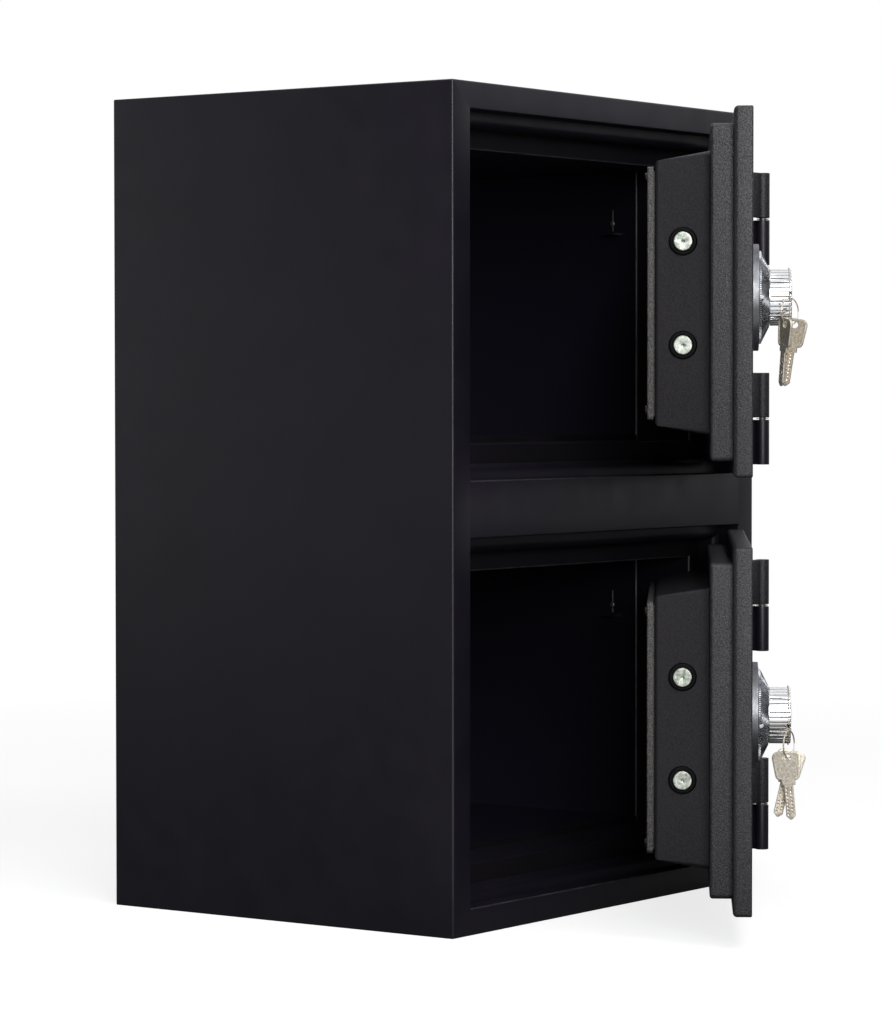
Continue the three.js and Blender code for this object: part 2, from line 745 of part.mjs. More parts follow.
function keyTie(keys) {
  const eye = eyePlace(keys);
  const loop = upright(hoop(tieRadius, tieWireRadius, largeRoundSegments), 90).translate(dialX, tieDepth, 0);
  const eyeHoop = upright(hoop(eyeRadius, tieWireRadius, eyeSegments), keys.eyeYaw)
    .translate(eye.x, eye.y, eye.z);
  const beadZ = eye.z + eyeRadius - tieWireRadius / 2;
  const bead = new THREE.SphereGeometry(beadRadius, beadSegments, wireSegments)
    .translate(dialX - Math.sqrt(beadDistance ** 2 - beadZ ** 2), tieDepth, beadZ);
  return join(loop, eyeHoop, bead);
}

// The ring's wire rests just above the lowest wire of the eye.
const ringLift = eyeRadius - tieWireRadius - keyRingWireRadius - fitGap;
const ringCentre = (keys) => eyePlace(keys).sub(new THREE.Vector3(0, 0, ringLift + keyRingRadius));

function keyRing(keys) {
  const centre = ringCentre(keys);
  return upright(hoop(keyRingRadius, keyRingWireRadius, ringSegments), keys.ringYaw)
    .translate(centre.x, centre.y, centre.z);
}

// Where a key hangs on the ring, on one side of its lowest point or the other.
function keyPivot(keys, side) {
  const around = degrees(keySpread);
  const yaw = degrees(keys.ringYaw);
  const along = side * keyRingRadius * Math.sin(around);
  return ringCentre(keys).add(new THREE.Vector3(
    -along * Math.sin(yaw), along * Math.cos(yaw), -keyRingRadius * Math.cos(around)));
}

// The bow narrows towards the neck, and its lower corners leave room for the neck's width.
function keyOutline() {
  const top = bowHoleHeadroom + bowCorner / 2;
  const bottom = top - bowHeight;
  const half = bowWidth / 2;
  const lowerHalf = half - bowTaper;
  const neck = neckWidth / 2;
  const lowerCorner = Math.min(bowCorner, lowerHalf - neck);
  const shoulder = bottom - neckHeight;
  const blade = bladeWidth / 2;
  const tip = bottom - bladeLength;
  const outline = new THREE.Shape();
  outline.moveTo(-half + bowCorner, top);
  outline.absarc(half - bowCorner, top - bowCorner, bowCorner, Math.PI / 2, 0, true);
  outline.absarc(lowerHalf - lowerCorner, bottom + lowerCorner, lowerCorner, 0, -Math.PI / 2, true);
  outline.lineTo(neck, bottom);
  outline.lineTo(neck, shoulder);
  outline.lineTo(blade, shoulder);
  outline.lineTo(blade, tip + bladeTip);
  outline.lineTo(0, tip);
  outline.lineTo(-blade, tip + bladeTip);
  outline.lineTo(-blade, shoulder);
  outline.lineTo(-neck, shoulder);
  outline.lineTo(-neck, bottom);
  outline.absarc(-lowerHalf + lowerCorner, bottom + lowerCorner, lowerCorner, -Math.PI / 2, -Math.PI, true);
  outline.absarc(-half + bowCorner, top - bowCorner, bowCorner, Math.PI, Math.PI / 2, true);
  const holeHalf = bowHoleHeight / 2;
  const hole = new THREE.Path();
  hole.absellipse(0, bowHoleHeadroom - holeHalf, bowHoleWidth / 2, holeHalf, 0, 2 * Math.PI);
  outline.holes.push(hole);
  return outline;
}

function key(keys, { side, yaw, tilt }) {
  const pivot = keyPivot(keys, side);
  return outlineSlab(keyOutline(), -keyThickness / 2, keyThickness / 2)
    .rotateY(-degrees(tilt))
    .rotateZ(degrees(yaw))
    .translate(pivot.x, pivot.y, pivot.z);
}

// Finishes
const finish = (color, roughness, metalness) => ({ color, roughness, metalness });
const blackPowderCoat = finish(0x1c1b20, 0.45, 0);
const glossBlackPaint = finish(0x151417, 0.2, 0);
const castFill = finish(0x9a968e, 0.95, 0);
const brightZinc = finish(0xd2d3d0, 0.3, 1);
const plainSteel = finish(0x8d9094, 0.4, 1);
const chromePlate = finish(0xdfe1e4, 0.12, 1);
const brass = finish(0xb59a5b, 0.35, 1);
const nickelPlate = finish(0xc3bba8, 0.3, 1);
const blackMoulding = finish(0x202022, 0.5, 0);

function piece(name, geometry, look) {
  const mesh = new THREE.Mesh(closedSolid(geometry), new THREE.MeshStandardMaterial(look));
  mesh.name = name;
  return mesh;
}

const safe = new THREE.Group();
const cabinet = new THREE.Group();
cabinet.position.y = -cabinetDepth / 2;
safe.add(cabinet);

cabinet.add(
  piece('outer_shell', outerShell(), blackPowderCoat),
  piece('back_panel', backPanel(), blackPowderCoat),
  piece('insulation_fill', insulationFill(), castFill),
);

for (const door of doors) {
  const { prefix, level, keys } = door;
  const z = compartmentZ(level);
  cabinet.add(
    piece(`${prefix}door_frame`, doorFrame(level), blackPowderCoat),
    piece(`${prefix}liner`, liner(level), glossBlackPaint),
  );

  const swing = new THREE.Group();
  swing.position.set(hingeX, -hingeStandoff, z);
  swing.rotation.z = openAngle;
  const leaf = new THREE.Group();
  leaf.position.set(-hingeX, hingeStandoff, 0);
  swing.add(leaf);
  cabinet.add(swing);

  leaf.add(
    piece(`${prefix}door_plate`, doorPlate(), blackPowderCoat),
    piece(`${prefix}door_step`, doorStep(), blackPowderCoat),
    piece(`${prefix}door_fill`, doorFill(), castFill),
    piece(`${prefix}lock_box`, lockBox(), blackPowderCoat),
    piece(`${prefix}lock_box_cover`, lockBoxCover(), blackPowderCoat),
    piece(`${prefix}bolt_guide`, boltGuide(), blackMoulding),
    piece(`${prefix}bolt_top`, bolt(1), brightZinc),
    piece(`${prefix}bolt_bottom`, bolt(-1), brightZinc),
    piece(`${prefix}bolt_carrier`, boltCarrier(), plainSteel),
    piece(`${prefix}fence_lever`, fenceLever(), brass),
    piece(`${prefix}lock_case`, lockCase(), plainSteel),
    piece(`${prefix}wheel_pack`, wheelPack(), brass),
    piece(`${prefix}spindle`, spindle(), plainSteel),
    piece(`${prefix}dial_ring`, dialRing(), chromePlate),
    piece(`${prefix}dial`, dial(), chromePlate),
    piece(`${prefix}key_plug`, keyPlug(), plainSteel),
    piece(`${prefix}key_tie`, keyTie(keys), nickelPlate),
    piece(`${prefix}key_ring`, keyRing(keys), nickelPlate),
    piece(`${prefix}key_near`, key(keys, keys.near), nickelPlate),
    piece(`${prefix}key_far`, key(keys, keys.far), nickelPlate),
  );

  for (const { place, offset } of hinges) {
    leaf.add(piece(`${prefix}hinge_${place}_door_leaf`, hingeDoorLeaf(offset), blackPowderCoat));
    cabinet.add(
      piece(`${prefix}hinge_${place}_frame_leaf`, hingeFrameLeaf(z + offset), blackPowderCoat),
      piece(`${prefix}hinge_${place}_pin`, hingePin(z + offset), brightZinc),
    );
  }
}

export default safe;
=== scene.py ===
# A black fire-resisting safe with two compartments and two stepped doors, dressed round its packed
# construction. Shapes are made in millimetres in the frame of the cabinet or of a closed door, and
# then carried to their place in metres.
import json
import math

import bmesh
import bpy
from mathutils import Matrix, Vector


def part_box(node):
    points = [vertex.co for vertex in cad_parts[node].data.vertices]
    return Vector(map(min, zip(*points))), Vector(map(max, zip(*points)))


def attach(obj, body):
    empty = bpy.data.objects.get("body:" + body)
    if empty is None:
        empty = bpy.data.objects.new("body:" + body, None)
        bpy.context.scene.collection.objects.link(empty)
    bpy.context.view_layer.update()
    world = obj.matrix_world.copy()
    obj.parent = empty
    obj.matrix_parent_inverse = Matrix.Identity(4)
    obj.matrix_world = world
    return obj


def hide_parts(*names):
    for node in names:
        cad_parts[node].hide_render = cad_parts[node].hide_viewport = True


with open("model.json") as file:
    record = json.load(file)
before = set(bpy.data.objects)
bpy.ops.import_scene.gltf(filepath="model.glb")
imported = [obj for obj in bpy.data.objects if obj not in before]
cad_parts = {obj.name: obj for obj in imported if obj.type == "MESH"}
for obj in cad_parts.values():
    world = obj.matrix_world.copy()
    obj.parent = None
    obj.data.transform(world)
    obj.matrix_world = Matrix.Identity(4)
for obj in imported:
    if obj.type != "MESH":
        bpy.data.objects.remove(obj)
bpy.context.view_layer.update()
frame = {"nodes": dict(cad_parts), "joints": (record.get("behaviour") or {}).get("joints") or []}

MM = 0.001
IDENTITY = Matrix.Identity(4)
ALONG_X = Matrix.Rotation(math.radians(-90), 4, "Z")
ALONG_Z = Matrix.Rotation(math.radians(90), 4, "X")
# Turns that carry a prism's own axes to the liner's side walls, and to an upright section across X
ACROSS = Matrix(((0, 0, 1, 0), (1, 0, 0, 0), (0, 1, 0, 0), (0, 0, 0, 1)))
SIDEWAYS = Matrix(((1, 0, 0, 0), (0, 0, 1, 0), (0, 1, 0, 0), (0, 0, 0, 1)))
PREFIXES = ("upper_", "lower_")

# How finely round forms are drawn
ARC_STEPS = 6
CORNER_STEPS = 5
ROUND_SEGMENTS = 64
DIAL_SEGMENTS = 192
SCREW_SEGMENTS = 32
REST_SCREW_SEGMENTS = 24
WIRE_SIDES = 12
LEAST_CORNER = 0.05
WELD = 0.0005
SHARP_ANGLE = 32
BEVEL_ANGLE = 30
# How far a cutter stands out of what it cuts
CUT_PAST = 1.0
# A face counts as turned to an axis where its normal has more than this along it
TILTED = 0.1

# Cabinet, in millimetres
SHELL_SHEET = 3.0
SHELL_BEND = 2.0
SHELL_CORNER = 1.5
OPENING_ROUND = 1.0
OPENING_CORNER = 1.0
BACK_ROUND = 0.6
FRAME_SHEET = 2.5
FIRST_REVEAL = 16.5
SHOULDER = 12.5
SHOULDER_ROLL = 6.0
FLANGE_DEPTH = 34.0
FLANGE_WIDTH = 16.0
FLANGE_ROUND = 1.0
FLANGE_EVEN = 0.01
TUNNEL_END_ROUND = 1.2
STRIKE_HOLE_RADIUS = 9.5
BOLT_SPACING = 81.0
BOLT_DEPTH = 54.0

# Inner boxes
LINER_SHEET = 1.5
LINER_CORNER = 3.0
LINER_MOUTH_ROUND = 0.7
LINER_LIP = 0.2
LINER_LIP_DROP = 5.6
REST_DROP = 82.0
REST_SETBACK = 107.5
REST_WIDTH = 14.0
REST_MIDDLE = REST_SETBACK + REST_WIDTH / 2
REST_REACH = 8.0
REST_BEND = 1.5
REST_SLOT = (2.0, 20.0)
REST_SCREW_RISE = 8.5
REST_SCREW_RADIUS = 2.2
REST_SCREW_HEAD = 1.3
REST_SCREW_ROUND = 0.8

# Doors
PLATE_SKIN = 3.0
PLATE_LEDGE = 2.5
PLATE_FRONT_ROUND = 1.2
PLATE_REAR_ROUND = 3.5
PLATE_CORNER = 3.0
STEP_SHEET = 2.5
STEP_ROUND = 2.5
STEP_CORNER = 4.0
SPINDLE_HOLE = 6.0
BOX_SHEET = 2.0
BOX_TAPER = 7.7
BOX_ROUND = 2.0
BOX_ROUND_START = 170
BOX_CORNER = 5.0
BOX_FLANGE = 10.0
COVER_THICKNESS = 4.8
COVER_ROUND = 1.0
COVER_SEAT = 3.0
COVER_SCREW_INSET = 8.0
SCREW_RADIUS = 3.6
SCREW_HEAD = 2.1
SCREW_ROUND = 0.6 * SCREW_HEAD

# Bolts and their guide
COLLAR_RADIUS = 10.9
COLLAR_ROUND = 1.4
COLLAR_HOLE_REACH = 6.0
BOLT_RADIUS = 7.5
BORE_GAP = 0.3
BORE_PAST = 2.0
BOLT_CHAMFER = 0.8
# (radius, depth) of the lathe centre and the facing rings in a bolt's tip
BOLT_TIP = ((0, 0.7), (0.5, 0.45), (1.3, 0.12), (1.6, 0.02), (2.6, 0.06), (3.0, 0), (4.6, 0.05),
            (5.0, 0))
SPIGOT_RADIUS = 4.0
SPIGOT_LENGTH = 8.0
GUIDE_THICKNESS = 5.0
BOLT_AXES = {word: Matrix.Translation((0, BOLT_DEPTH, side * BOLT_SPACING / 2)) @ ALONG_X
             for word, side in (("bottom", -1), ("top", 1))}

# Dial, ring and plug
RING_RADIUS = 44.0
RING_WALL = 5.4
RING_FLOOR = 2.6
RING_BEVEL = 0.8
RING_EDGE = 0.3
RING_STEP = 0.5
RING_STEP_START = 1.6
RING_STEP_END = 2.0
RING_INNER = RING_RADIUS - RING_WALL
DIAL_GAP = 0.6
DIAL_RIM = 9.9
RIM_RADIUS = RING_INNER - DIAL_GAP
RIM_TOP_INSET = 0.9
RIM_TOP_DROP = 0.1
CONE_INSET = 1.0
CONE_TOP = (0.7, 0.5)
CONE_LIP = (0.4, 0.6)
RING_DROP = 1.6
KNOB_RADIUS = 23.0
KNOB_BASE = 17.0
KNOB_BEVEL = 1.0
KNOB_FOOT_START = 0.3
KNOB_FOOT_END = 0.1
KNOB_FOOT_BEVEL = 0.15
KNOB_RIM = 3.0
DISH_SLOPE = 0.6
DISH_DEPTH = 0.5
KNOB_DROP = 0.8
KNOB_LINE = (0.7, 0.12)
KNOB_FLUTES = 36
FLUTE_DEPTH = 0.8
FLUTE_STEPS = 12
FLUTE_WIDTH = 0.34
FLUTE_ROUND = 0.6
COLLET_RADIUS = 21.2
COLLET_DEPTH = 14.2
KNURL_TEETH = 140
KNURL_ROWS = 12
KNURL_STEPS = 4
KNURL_HEIGHT = 0.7
RIM_TOOTH = 0.7
RIM_LEAN = 0.3
TOOTH_START = 2.4
TOOTH_FULL = 2.2
TOOTH_END = 0.3
PLUG_RADIUS = 6.0
PLUG_RECESS = 0.6
PLUG_RIM = 2.4
PLUG_BORE = 10.0
PLUG_CHAMFER = 0.5
PLUG_DISH = (3.4, 3.1)
PLUG_DISH_DEPTH = 0.25
KEYWAY = (2.4, 8.4)
KEYWAY_DEPTH = 8.0
KEYWAY_CORNER = 0.4
MARK_HEIGHT = 0.06
MARK_SINK = 0.02
MARK_ROOT = 1.0
GRADUATIONS = 100
GRADUATION_START = 0.45
# Length and width of every tenth, fifth and other graduation
GRADUATION_SIZES = ((10, (1.5, 0.34)), (5, (1.1, 0.26)), (1, (0.7, 0.2)))
NUMBERS = 10
NUMBER_SIZE = 2.6
NUMBER_START = 3.55
INDEX_ANGLE = {"upper_": -1.0, "lower_": -9.0}
INDEX_SIZE = (3.2, 2.6, 0.5)
INDEX_OVERLAP = 0.1
INDEX_ROUND = 0.2

# Hinges
KNUCKLE_RADIUS = 6.0
KNUCKLE_ROUND = 0.5
LEAF_THICKNESS = 4.0
LEAF_ROUND = 0.6
LEAF_BEND_ANGLE = 20
LEAF_SETBACK = 1.0
DOOR_LEAF_WIDTH = 30.0
FRAME_LEAF_WIDTH = 20.0
FRAME_WEB = 7.0
PIN_RADIUS = 3.0
PIN_DISC_RADIUS = 5.4
PIN_DISC = 0.6
PIN_DISC_ROUND = 0.3

# Keys. Their heights are from the point where they hang on the ring.
TIE_RADIUS = 23.8
TIE_FROM_END = 2.7
TIE_STRAND = 0.27
TIE_TWIST = 0.24
TIE_TWISTS = 46
TIE_STEPS = 12
EYE_RADIUS = 2.6
EYE_WIRE = 0.42
EYE_STEPS = 32
EYE_YAW = {"upper_": 90, "lower_": 130}
BEAD_RADIUS = 1.2
BEAD_DISTANCE = 25.2
BEAD_SEGMENTS = (24, 16)
KEY_RING_RADIUS = 11.0
KEY_RING_WIRE = 0.32
KEY_RING_PITCH = 0.66
KEY_RING_TURNS = 1.92
KEY_RING_STEPS = 72
KEY_RING_CROSSING = 0.12
BOW_TOP = 4.4
BOW_BOTTOM = -19.1
BOW_HALF = 11.75
BOW_LOWER_HALF = 10.25
BOW_CORNER = 5.0
BOW_LOWER_CORNER = 4.5
BOW_BORDER = 1.7
BOW_RECESS = 0.35
BOW_HOLE = (-0.9, 4.0, 2.8)
BOW_HOLE_POINTS = 24
NECK_HALF = 5.75
NECK_BOTTOM = -23.1
BLADE_HALF = 3.75
BLADE_TIP = -51.1
TIP_TAPER = 3.0
TIP_HALF = 0.6
KEY_THICKNESS = 2.0
KEY_ROUND = 0.3
DIMPLE_ROWS = (-1.75, 1.75)
DIMPLE_PITCH = 2.9
DIMPLE_RADIUS = 1.4
DIMPLE_DEPTH = 0.55
DIMPLE_START = 2.0
DIMPLE_STEP = 0.12
DIMPLE_SEGMENTS = (12, 8)
KEY_TILT = {"upper_": {"near": 9, "far": 9}, "lower_": {"near": 13, "far": -5}}


# Places. A place carries millimetres to the row frame: x as on the cabinet, y the depth behind the
# cabinet's front face or behind the closed door's outer face, and z the height from the middle.
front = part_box("outer_shell")[0].y
joints = {joint["name"]: joint for joint in frame["joints"]}


def cabinet_place(prefix=None):
    """The whole cabinet's place, or one compartment's."""
    middle = Vector(joints[prefix + "door_swing"]["pos_m"]).z if prefix else 0
    return Matrix.Translation((0, front, middle)) @ Matrix.Scale(MM, 4)


def door_place(prefix):
    swing = joints[prefix + "door_swing"]
    hinge = Matrix.Translation(swing["pos_m"])
    closed = math.radians(swing["range_deg"][0])
    return hinge @ Matrix.Rotation(-closed, 4, "Z") @ hinge.inverted() @ cabinet_place(prefix)


def hanging_place(joint):
    """A place at a joint, whose Y axis is the joint's axis and whose Z axis is upright."""
    axis = Vector(joints[joint]["axis"])
    up = Vector((0, 0, 1))
    turn = Matrix((axis.cross(up), axis, up)).transposed().to_4x4()
    return Matrix.Translation(joints[joint]["pos_m"]) @ turn @ Matrix.Scale(MM, 4)


def span(node, place):
    """Lowest and highest corner of a construction node, in a place's millimetres."""
    back = place.inverted()
    corners = [back @ vertex.co for vertex in frame["nodes"][node].data.vertices]
    low = Vector(min(corner[axis] for corner in corners) for axis in range(3))
    high = Vector(max(corner[axis] for corner in corners) for axis in range(3))
    return low, high


def inside(low, high, sheet=0.0):
    """Width and height between two corners, less a sheet at each side."""
    return high.x - low.x - 2 * sheet, high.z - low.z - 2 * sheet


# Mesh making
def arc(centre_inset, centre_depth, radius, start, end, steps=ARC_STEPS):
    """Points of a round edge, from one angle to another in degrees."""
    angles = [math.radians(start + (end - start) * step / steps) for step in range(steps + 1)]
    return [(centre_inset + radius * math.cos(angle), centre_depth + radius * math.sin(angle))
            for angle in angles]


def circle(radius, segments, x=0.0):
    return arc(x, 0, radius, 0, 360, segments)[:-1]


def four_corners(x, y):
    """Corners of a rectangle, from its two x and its two y."""
    return [(x[0], y[0]), (x[1], y[0]), (x[1], y[1]), (x[0], y[1])]


def rectangle(width, height, corner, x=0.0, z=0.0):
    """Points round a rectangle with round corners, in the XZ plane."""
    corner = max(corner, LEAST_CORNER)
    points = []
    for quarter, (side_x, side_z) in enumerate(((1, 1), (-1, 1), (-1, -1), (1, -1))):
        centre_x = x + side_x * (width / 2 - corner)
        centre_z = z + side_z * (height / 2 - corner)
        points += arc(centre_x, centre_z, corner, 90 * quarter, 90 * quarter + 90, CORNER_STEPS)
    return points


def add_loop(bm, points, depth):
    return [bm.verts.new((x, depth, z)) for x, z in points]


def bridge(bm, first, second):
    """Joins two loops of the same count, or a loop and a single point."""
    count = max(len(first), len(second))
    for here in range(count):
        after = (here + 1) % count
        if len(first) == 1:
            bm.faces.new((first[0], second[after], second[here]))
        elif len(second) == 1:
            bm.faces.new((first[here], first[after], second[0]))
        else:
            bm.faces.new((first[here], first[after], second[after], second[here]))


def cap(bm, *loops):
    """Fills a flat outline. Loops after the first are holes in it."""
    if len(loops) == 1:
        bm.faces.new(loops[0])
        return
    edges = []
    for loop in loops:
        for start, end in zip(loop, loop[1:] + loop[:1]):
            edges.append(bm.edges.get((start, end)) or bm.edges.new((start, end)))
    bmesh.ops.triangle_fill(bm, use_beauty=True, edges=edges)


def bridge_all(bm, loops, endless=False):
    """Joins each loop to the next one, and the last to the first where the row is endless."""
    following = loops[1:] + loops[:1] if endless else loops[1:]
    for first, second in zip(loops, following):
        bridge(bm, first, second)


def close_body(bm, loops):
    """Joins loops and fills the first and the last."""
    bridge_all(bm, loops)
    cap(bm, loops[0])
    cap(bm, loops[-1])


def skin(bm, size, rows, corner, middle=(0.0, 0.0), endless=False):
    """Carries rows of (inset, depth) round a rectangle with round corners."""
    width, height = size
    loops = [add_loop(bm, rectangle(width - 2 * inset, height - 2 * inset, corner - inset, *middle), depth)
             for inset, depth in rows]
    bridge_all(bm, loops, endless)
    return loops


def pressed(bm, size, rows, corner, middle=(0.0, 0.0), hole=None):
    """A skin with closed ends, and a round hole (x, radius) through both of them where one is given."""
    loops = skin(bm, size, rows, corner, middle)
    rims = [[], []]
    if hole:
        around = circle(hole[1], ROUND_SEGMENTS, hole[0])
        rims = [[add_loop(bm, around, depth)] for depth in (rows[0][1], rows[-1][1])]
        bridge(bm, *rims[0], *rims[1])
    cap(bm, loops[0], *rims[0])
    cap(bm, loops[-1], *rims[1])


def turned(bm, profile, place=IDENTITY, segments=ROUND_SEGMENTS, endless=False):
    """Turns (radius, distance) points about the Y axis, and then puts the body in its place."""
    loops = []
    for radius, distance in profile:
        points = circle(radius, segments) if radius > WELD else [(0, 0)]
        loops.append([bm.verts.new(place @ Vector((x, distance, z))) for x, z in points])
    bridge_all(bm, loops, endless)


def rounded_rod(radius, start, end, edge, steps=ARC_STEPS):
    """Profile of a rod with round edges at both ends."""
    return [(0, start), *arc(radius - edge, start + edge, edge, -90, 0, steps),
            *arc(radius - edge, end - edge, edge, 0, 90, steps), (0, end)]


def prism(bm, outline, bottom, top, place=IDENTITY, holes=()):
    """An outline in the XY plane with a height along Z."""
    ends = []
    for height in (bottom, top):
        loops = [[bm.verts.new(place @ Vector((x, y, height))) for x, y in points]
                 for points in (outline, *holes)]
        cap(bm, *loops)
        ends.append(loops)
    for low, high in zip(*ends):
        bridge(bm, low, high)


def tube(bm, points, radius, endless=False):
    """A round wire along points."""
    points = [Vector(point) for point in points]
    count = len(points)
    loops = []
    normal = None
    for index, point in enumerate(points):
        before = points[index - 1] if index or endless else point
        after = points[(index + 1) % count] if index < count - 1 or endless else point
        along = (after - before).normalized()
        if normal is None:
            normal = along.orthogonal().normalized()
        normal = (normal - along * normal.dot(along)).normalized()
        across = along.cross(normal)
        loops.append([bm.verts.new(point + radius * (normal * x + across * z))
                      for x, z in circle(1, WIRE_SIDES)])
    if endless:
        bridge_all(bm, loops, endless)
    else:
        close_body(bm, loops)


def round_edges(bm, width, segments=3, angle=BEVEL_ANGLE):
    """Rounds every edge sharper than an angle."""
    bmesh.ops.recalc_face_normals(bm, faces=bm.faces)
    bmesh.ops.dissolve_limit(bm, angle_limit=math.radians(1), verts=bm.verts, edges=bm.edges)
    sharp = [edge for edge in bm.edges if edge.is_manifold and edge.calc_face_angle() > math.radians(angle)]
    bmesh.ops.bevel(bm, geom=sharp, offset=width, segments=segments, profile=0.5, affect="EDGES",
                    clamp_overlap=True)


def add_object(name, data, matrix=IDENTITY):
    made = bpy.data.objects.new(name, data)
    made.matrix_world = matrix
    bpy.context.scene.collection.objects.link(made)
    return made


def mesh_object(name, bm, place):
    """Makes an object of a mesh that is in a place's millimetres."""
    bmesh.ops.remove_doubles(bm, verts=bm.verts, dist=WELD)
    bmesh.ops.transform(bm, matrix=place, verts=bm.verts)
    bmesh.ops.recalc_face_normals(bm, faces=bm.faces)
    mesh = bpy.data.meshes.new(name)
    bm.to_mesh(mesh)
    bm.free()
    return add_object(name, mesh)


def cut_out(made, tool, place=IDENTITY):
    """Cuts closed bodies, in a place's millimetres, out of a piece."""
    cutter = mesh_object("cutter", tool, place)
    difference = made.modifiers.new("cut", "BOOLEAN")
    difference.operation = "DIFFERENCE"
    difference.solver = "EXACT"
    difference.object = cutter
    graph = bpy.context.evaluated_depsgraph_get()
    mesh = bpy.data.meshes.new_from_object(made.evaluated_get(graph))
    made.modifiers.clear()
    made.data = mesh
    bpy.data.objects.remove(cutter)


def join(made, extra, place):
    """Adds more bodies, in a place's millimetres, to a piece."""
    part = mesh_object("part", extra, place)
    bm = bmesh.new()
    for source in (made, part):
        bm.from_mesh(source.data)
    bm.to_mesh(made.data)
    bm.free()
    bpy.data.objects.remove(part)


def drill(made, place, radius, start, end):
    """Drills a hole for each bolt, from one x to another."""
    drills = bmesh.new()
    for axis in BOLT_AXES.values():
        turned(drills, [(0, start), (radius, start), (radius, end), (0, end)], axis)
    cut_out(made, drills, place)


def dress(made, look, body, nodes=()):
    """Gives a piece its finish and its body, and says which construction nodes it stands for."""
    made.data.materials.clear()
    made.data.materials.append(look)
    made.data.shade_smooth()
    made.data.set_sharp_from_angle(angle=math.radians(SHARP_ANGLE))
    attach(made, body)
    if nodes:
        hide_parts(*nodes)
    return made


def refinish(made, look, chosen):
    """Gives another finish to the faces that a test picks."""
    made.data.materials.append(look)
    for face in made.data.polygons:
        if chosen(face):
            face.material_index = len(made.data.materials) - 1


def node_piece(node, bm, place, look, body):
    """A piece that stands for one construction node."""
    return dress(mesh_object(node + "_shape", bm, place), look, body, [node])


# Materials
SHADER = "Principled BSDF"
# Most of a noise lies between these
NOISE_REACH = (0.3, 0.7)
# How much darker, of 255, a mark's thin places are
PAINT_SHADE = 14


def linear(colour):
    """Turns an sRGB hex value to linear red, green, blue and an alpha of 1."""
    parts = [int(colour[start:start + 2], 16) / 255 for start in (1, 3, 5)]
    return (*[part / 12.92 if part <= 0.04045 else ((part + 0.055) / 1.055) ** 2.4 for part in parts], 1)


def set_up(tree, node, settings):
    """Gives a node its settings and socket values. A value that is another node's socket is linked."""
    for name, value in settings.items():
        if isinstance(value, bpy.types.NodeSocket):
            tree.links.new(value, node.inputs[name])
        elif isinstance(name, int) or name in node.inputs:
            node.inputs[name].default_value = value
        else:
            setattr(node, name, value)


def add_node(tree, kind, settings=None, output=0):
    """Adds a node with its settings and links, and gives one of its outputs."""
    made = tree.nodes.new(kind)
    set_up(tree, made, settings or {})
    return made.outputs[output]


def material(name, colour, roughness, metallic=0.0, **sockets):
    """A new material with its shader set and its object coordinates ready, and its node tree."""
    made = bpy.data.materials.new(name)
    made.use_nodes = True
    tree = made.node_tree
    set_up(tree, tree.nodes[SHADER], {
        "Base Color": linear(colour), "Roughness": roughness, "Metallic": metallic,
        **{socket.replace("_", " "): value for socket, value in sockets.items()}})
    add_node(tree, "ShaderNodeTexCoord", {"name": "where"})
    return made, tree


def noise(tree, size_mm, detail=2.0, roughness=0.5, where=None):
    """Even noise whose lumps are about size_mm across."""
    return add_node(tree, "ShaderNodeTexNoise", {
        "Scale": 1 / (size_mm * MM), "Detail": detail, "Roughness": roughness,
        "Vector": where or tree.nodes["where"].outputs["Object"]})


def spread(tree, factor, low, high, stops=NOISE_REACH):
    """Maps a factor to a range of values."""
    return add_node(tree, "ShaderNodeMapRange", {
        "Value": factor, "From Min": stops[0], "From Max": stops[1], "To Min": low, "To Max": high})


def blend_colours(tree, factor, first, second, stops=NOISE_REACH):
    """Goes from one sRGB colour to another as a factor rises."""
    colour = add_node(tree, "ShaderNodeValToRGB", {"Fac": factor})
    for element, place, shade in zip(colour.node.color_ramp.elements, stops, (first, second)):
        element.position = place
        element.color = linear(shade)
    return colour


def vary_colour(tree, pattern, first, second, stops=NOISE_REACH):
    set_up(tree, tree.nodes[SHADER], {"Base Color": blend_colours(tree, pattern, first, second, stops)})


def vary_roughness(tree, pattern, low, high):
    set_up(tree, tree.nodes[SHADER], {"Roughness": spread(tree, pattern, low, high)})


def raise_surface(tree, height, depth_mm, under=None):
    """Adds a bump of a real depth, over another one where that is given."""
    bump = add_node(tree, "ShaderNodeBump", {
        "Strength": 1.0, "Distance": depth_mm * MM, "Height": height, **({"Normal": under} if under else {})})
    set_up(tree, tree.nodes[SHADER], {"Normal": bump})
    return bump


def satin_powder_coat():
    """Black polyester powder coat on sheet steel: deep and even, with the soft orange peel of baked
    powder."""
    made, tree = material("satin_powder_coat", "#16131b", 0.42)
    tone = noise(tree, 70, 3)
    vary_colour(tree, tone, "#13111a", "#18151f")
    vary_roughness(tree, noise(tree, 25, 2), 0.38, 0.46)
    peel = raise_surface(tree, noise(tree, 2.2, 2), 0.012)
    raise_surface(tree, noise(tree, 0.7, 1), 0.004, peel)
    return made


def recess_shade_powder_coat():
    """The same powder in the frame's recess, darker and duller: painted shade for the shadow that falls
    there.
    """
    made, tree = material("recess_shade_powder_coat", "#0f0d12", 0.62, Specular_IOR_Level=0.2)
    vary_colour(tree, noise(tree, 40, 3), "#0c0a0f", "#120f15")
    raise_surface(tree, noise(tree, 1.2, 2), 0.012)
    return made


def painted_highlight_powder_coat(name, dark, light):
    """The same powder, lighter and glossier over a rounded edge: a painted highlight line."""
    made, tree = material(name, light, 0.3)
    vary_colour(tree, noise(tree, 12, 3), dark, light)
    return made


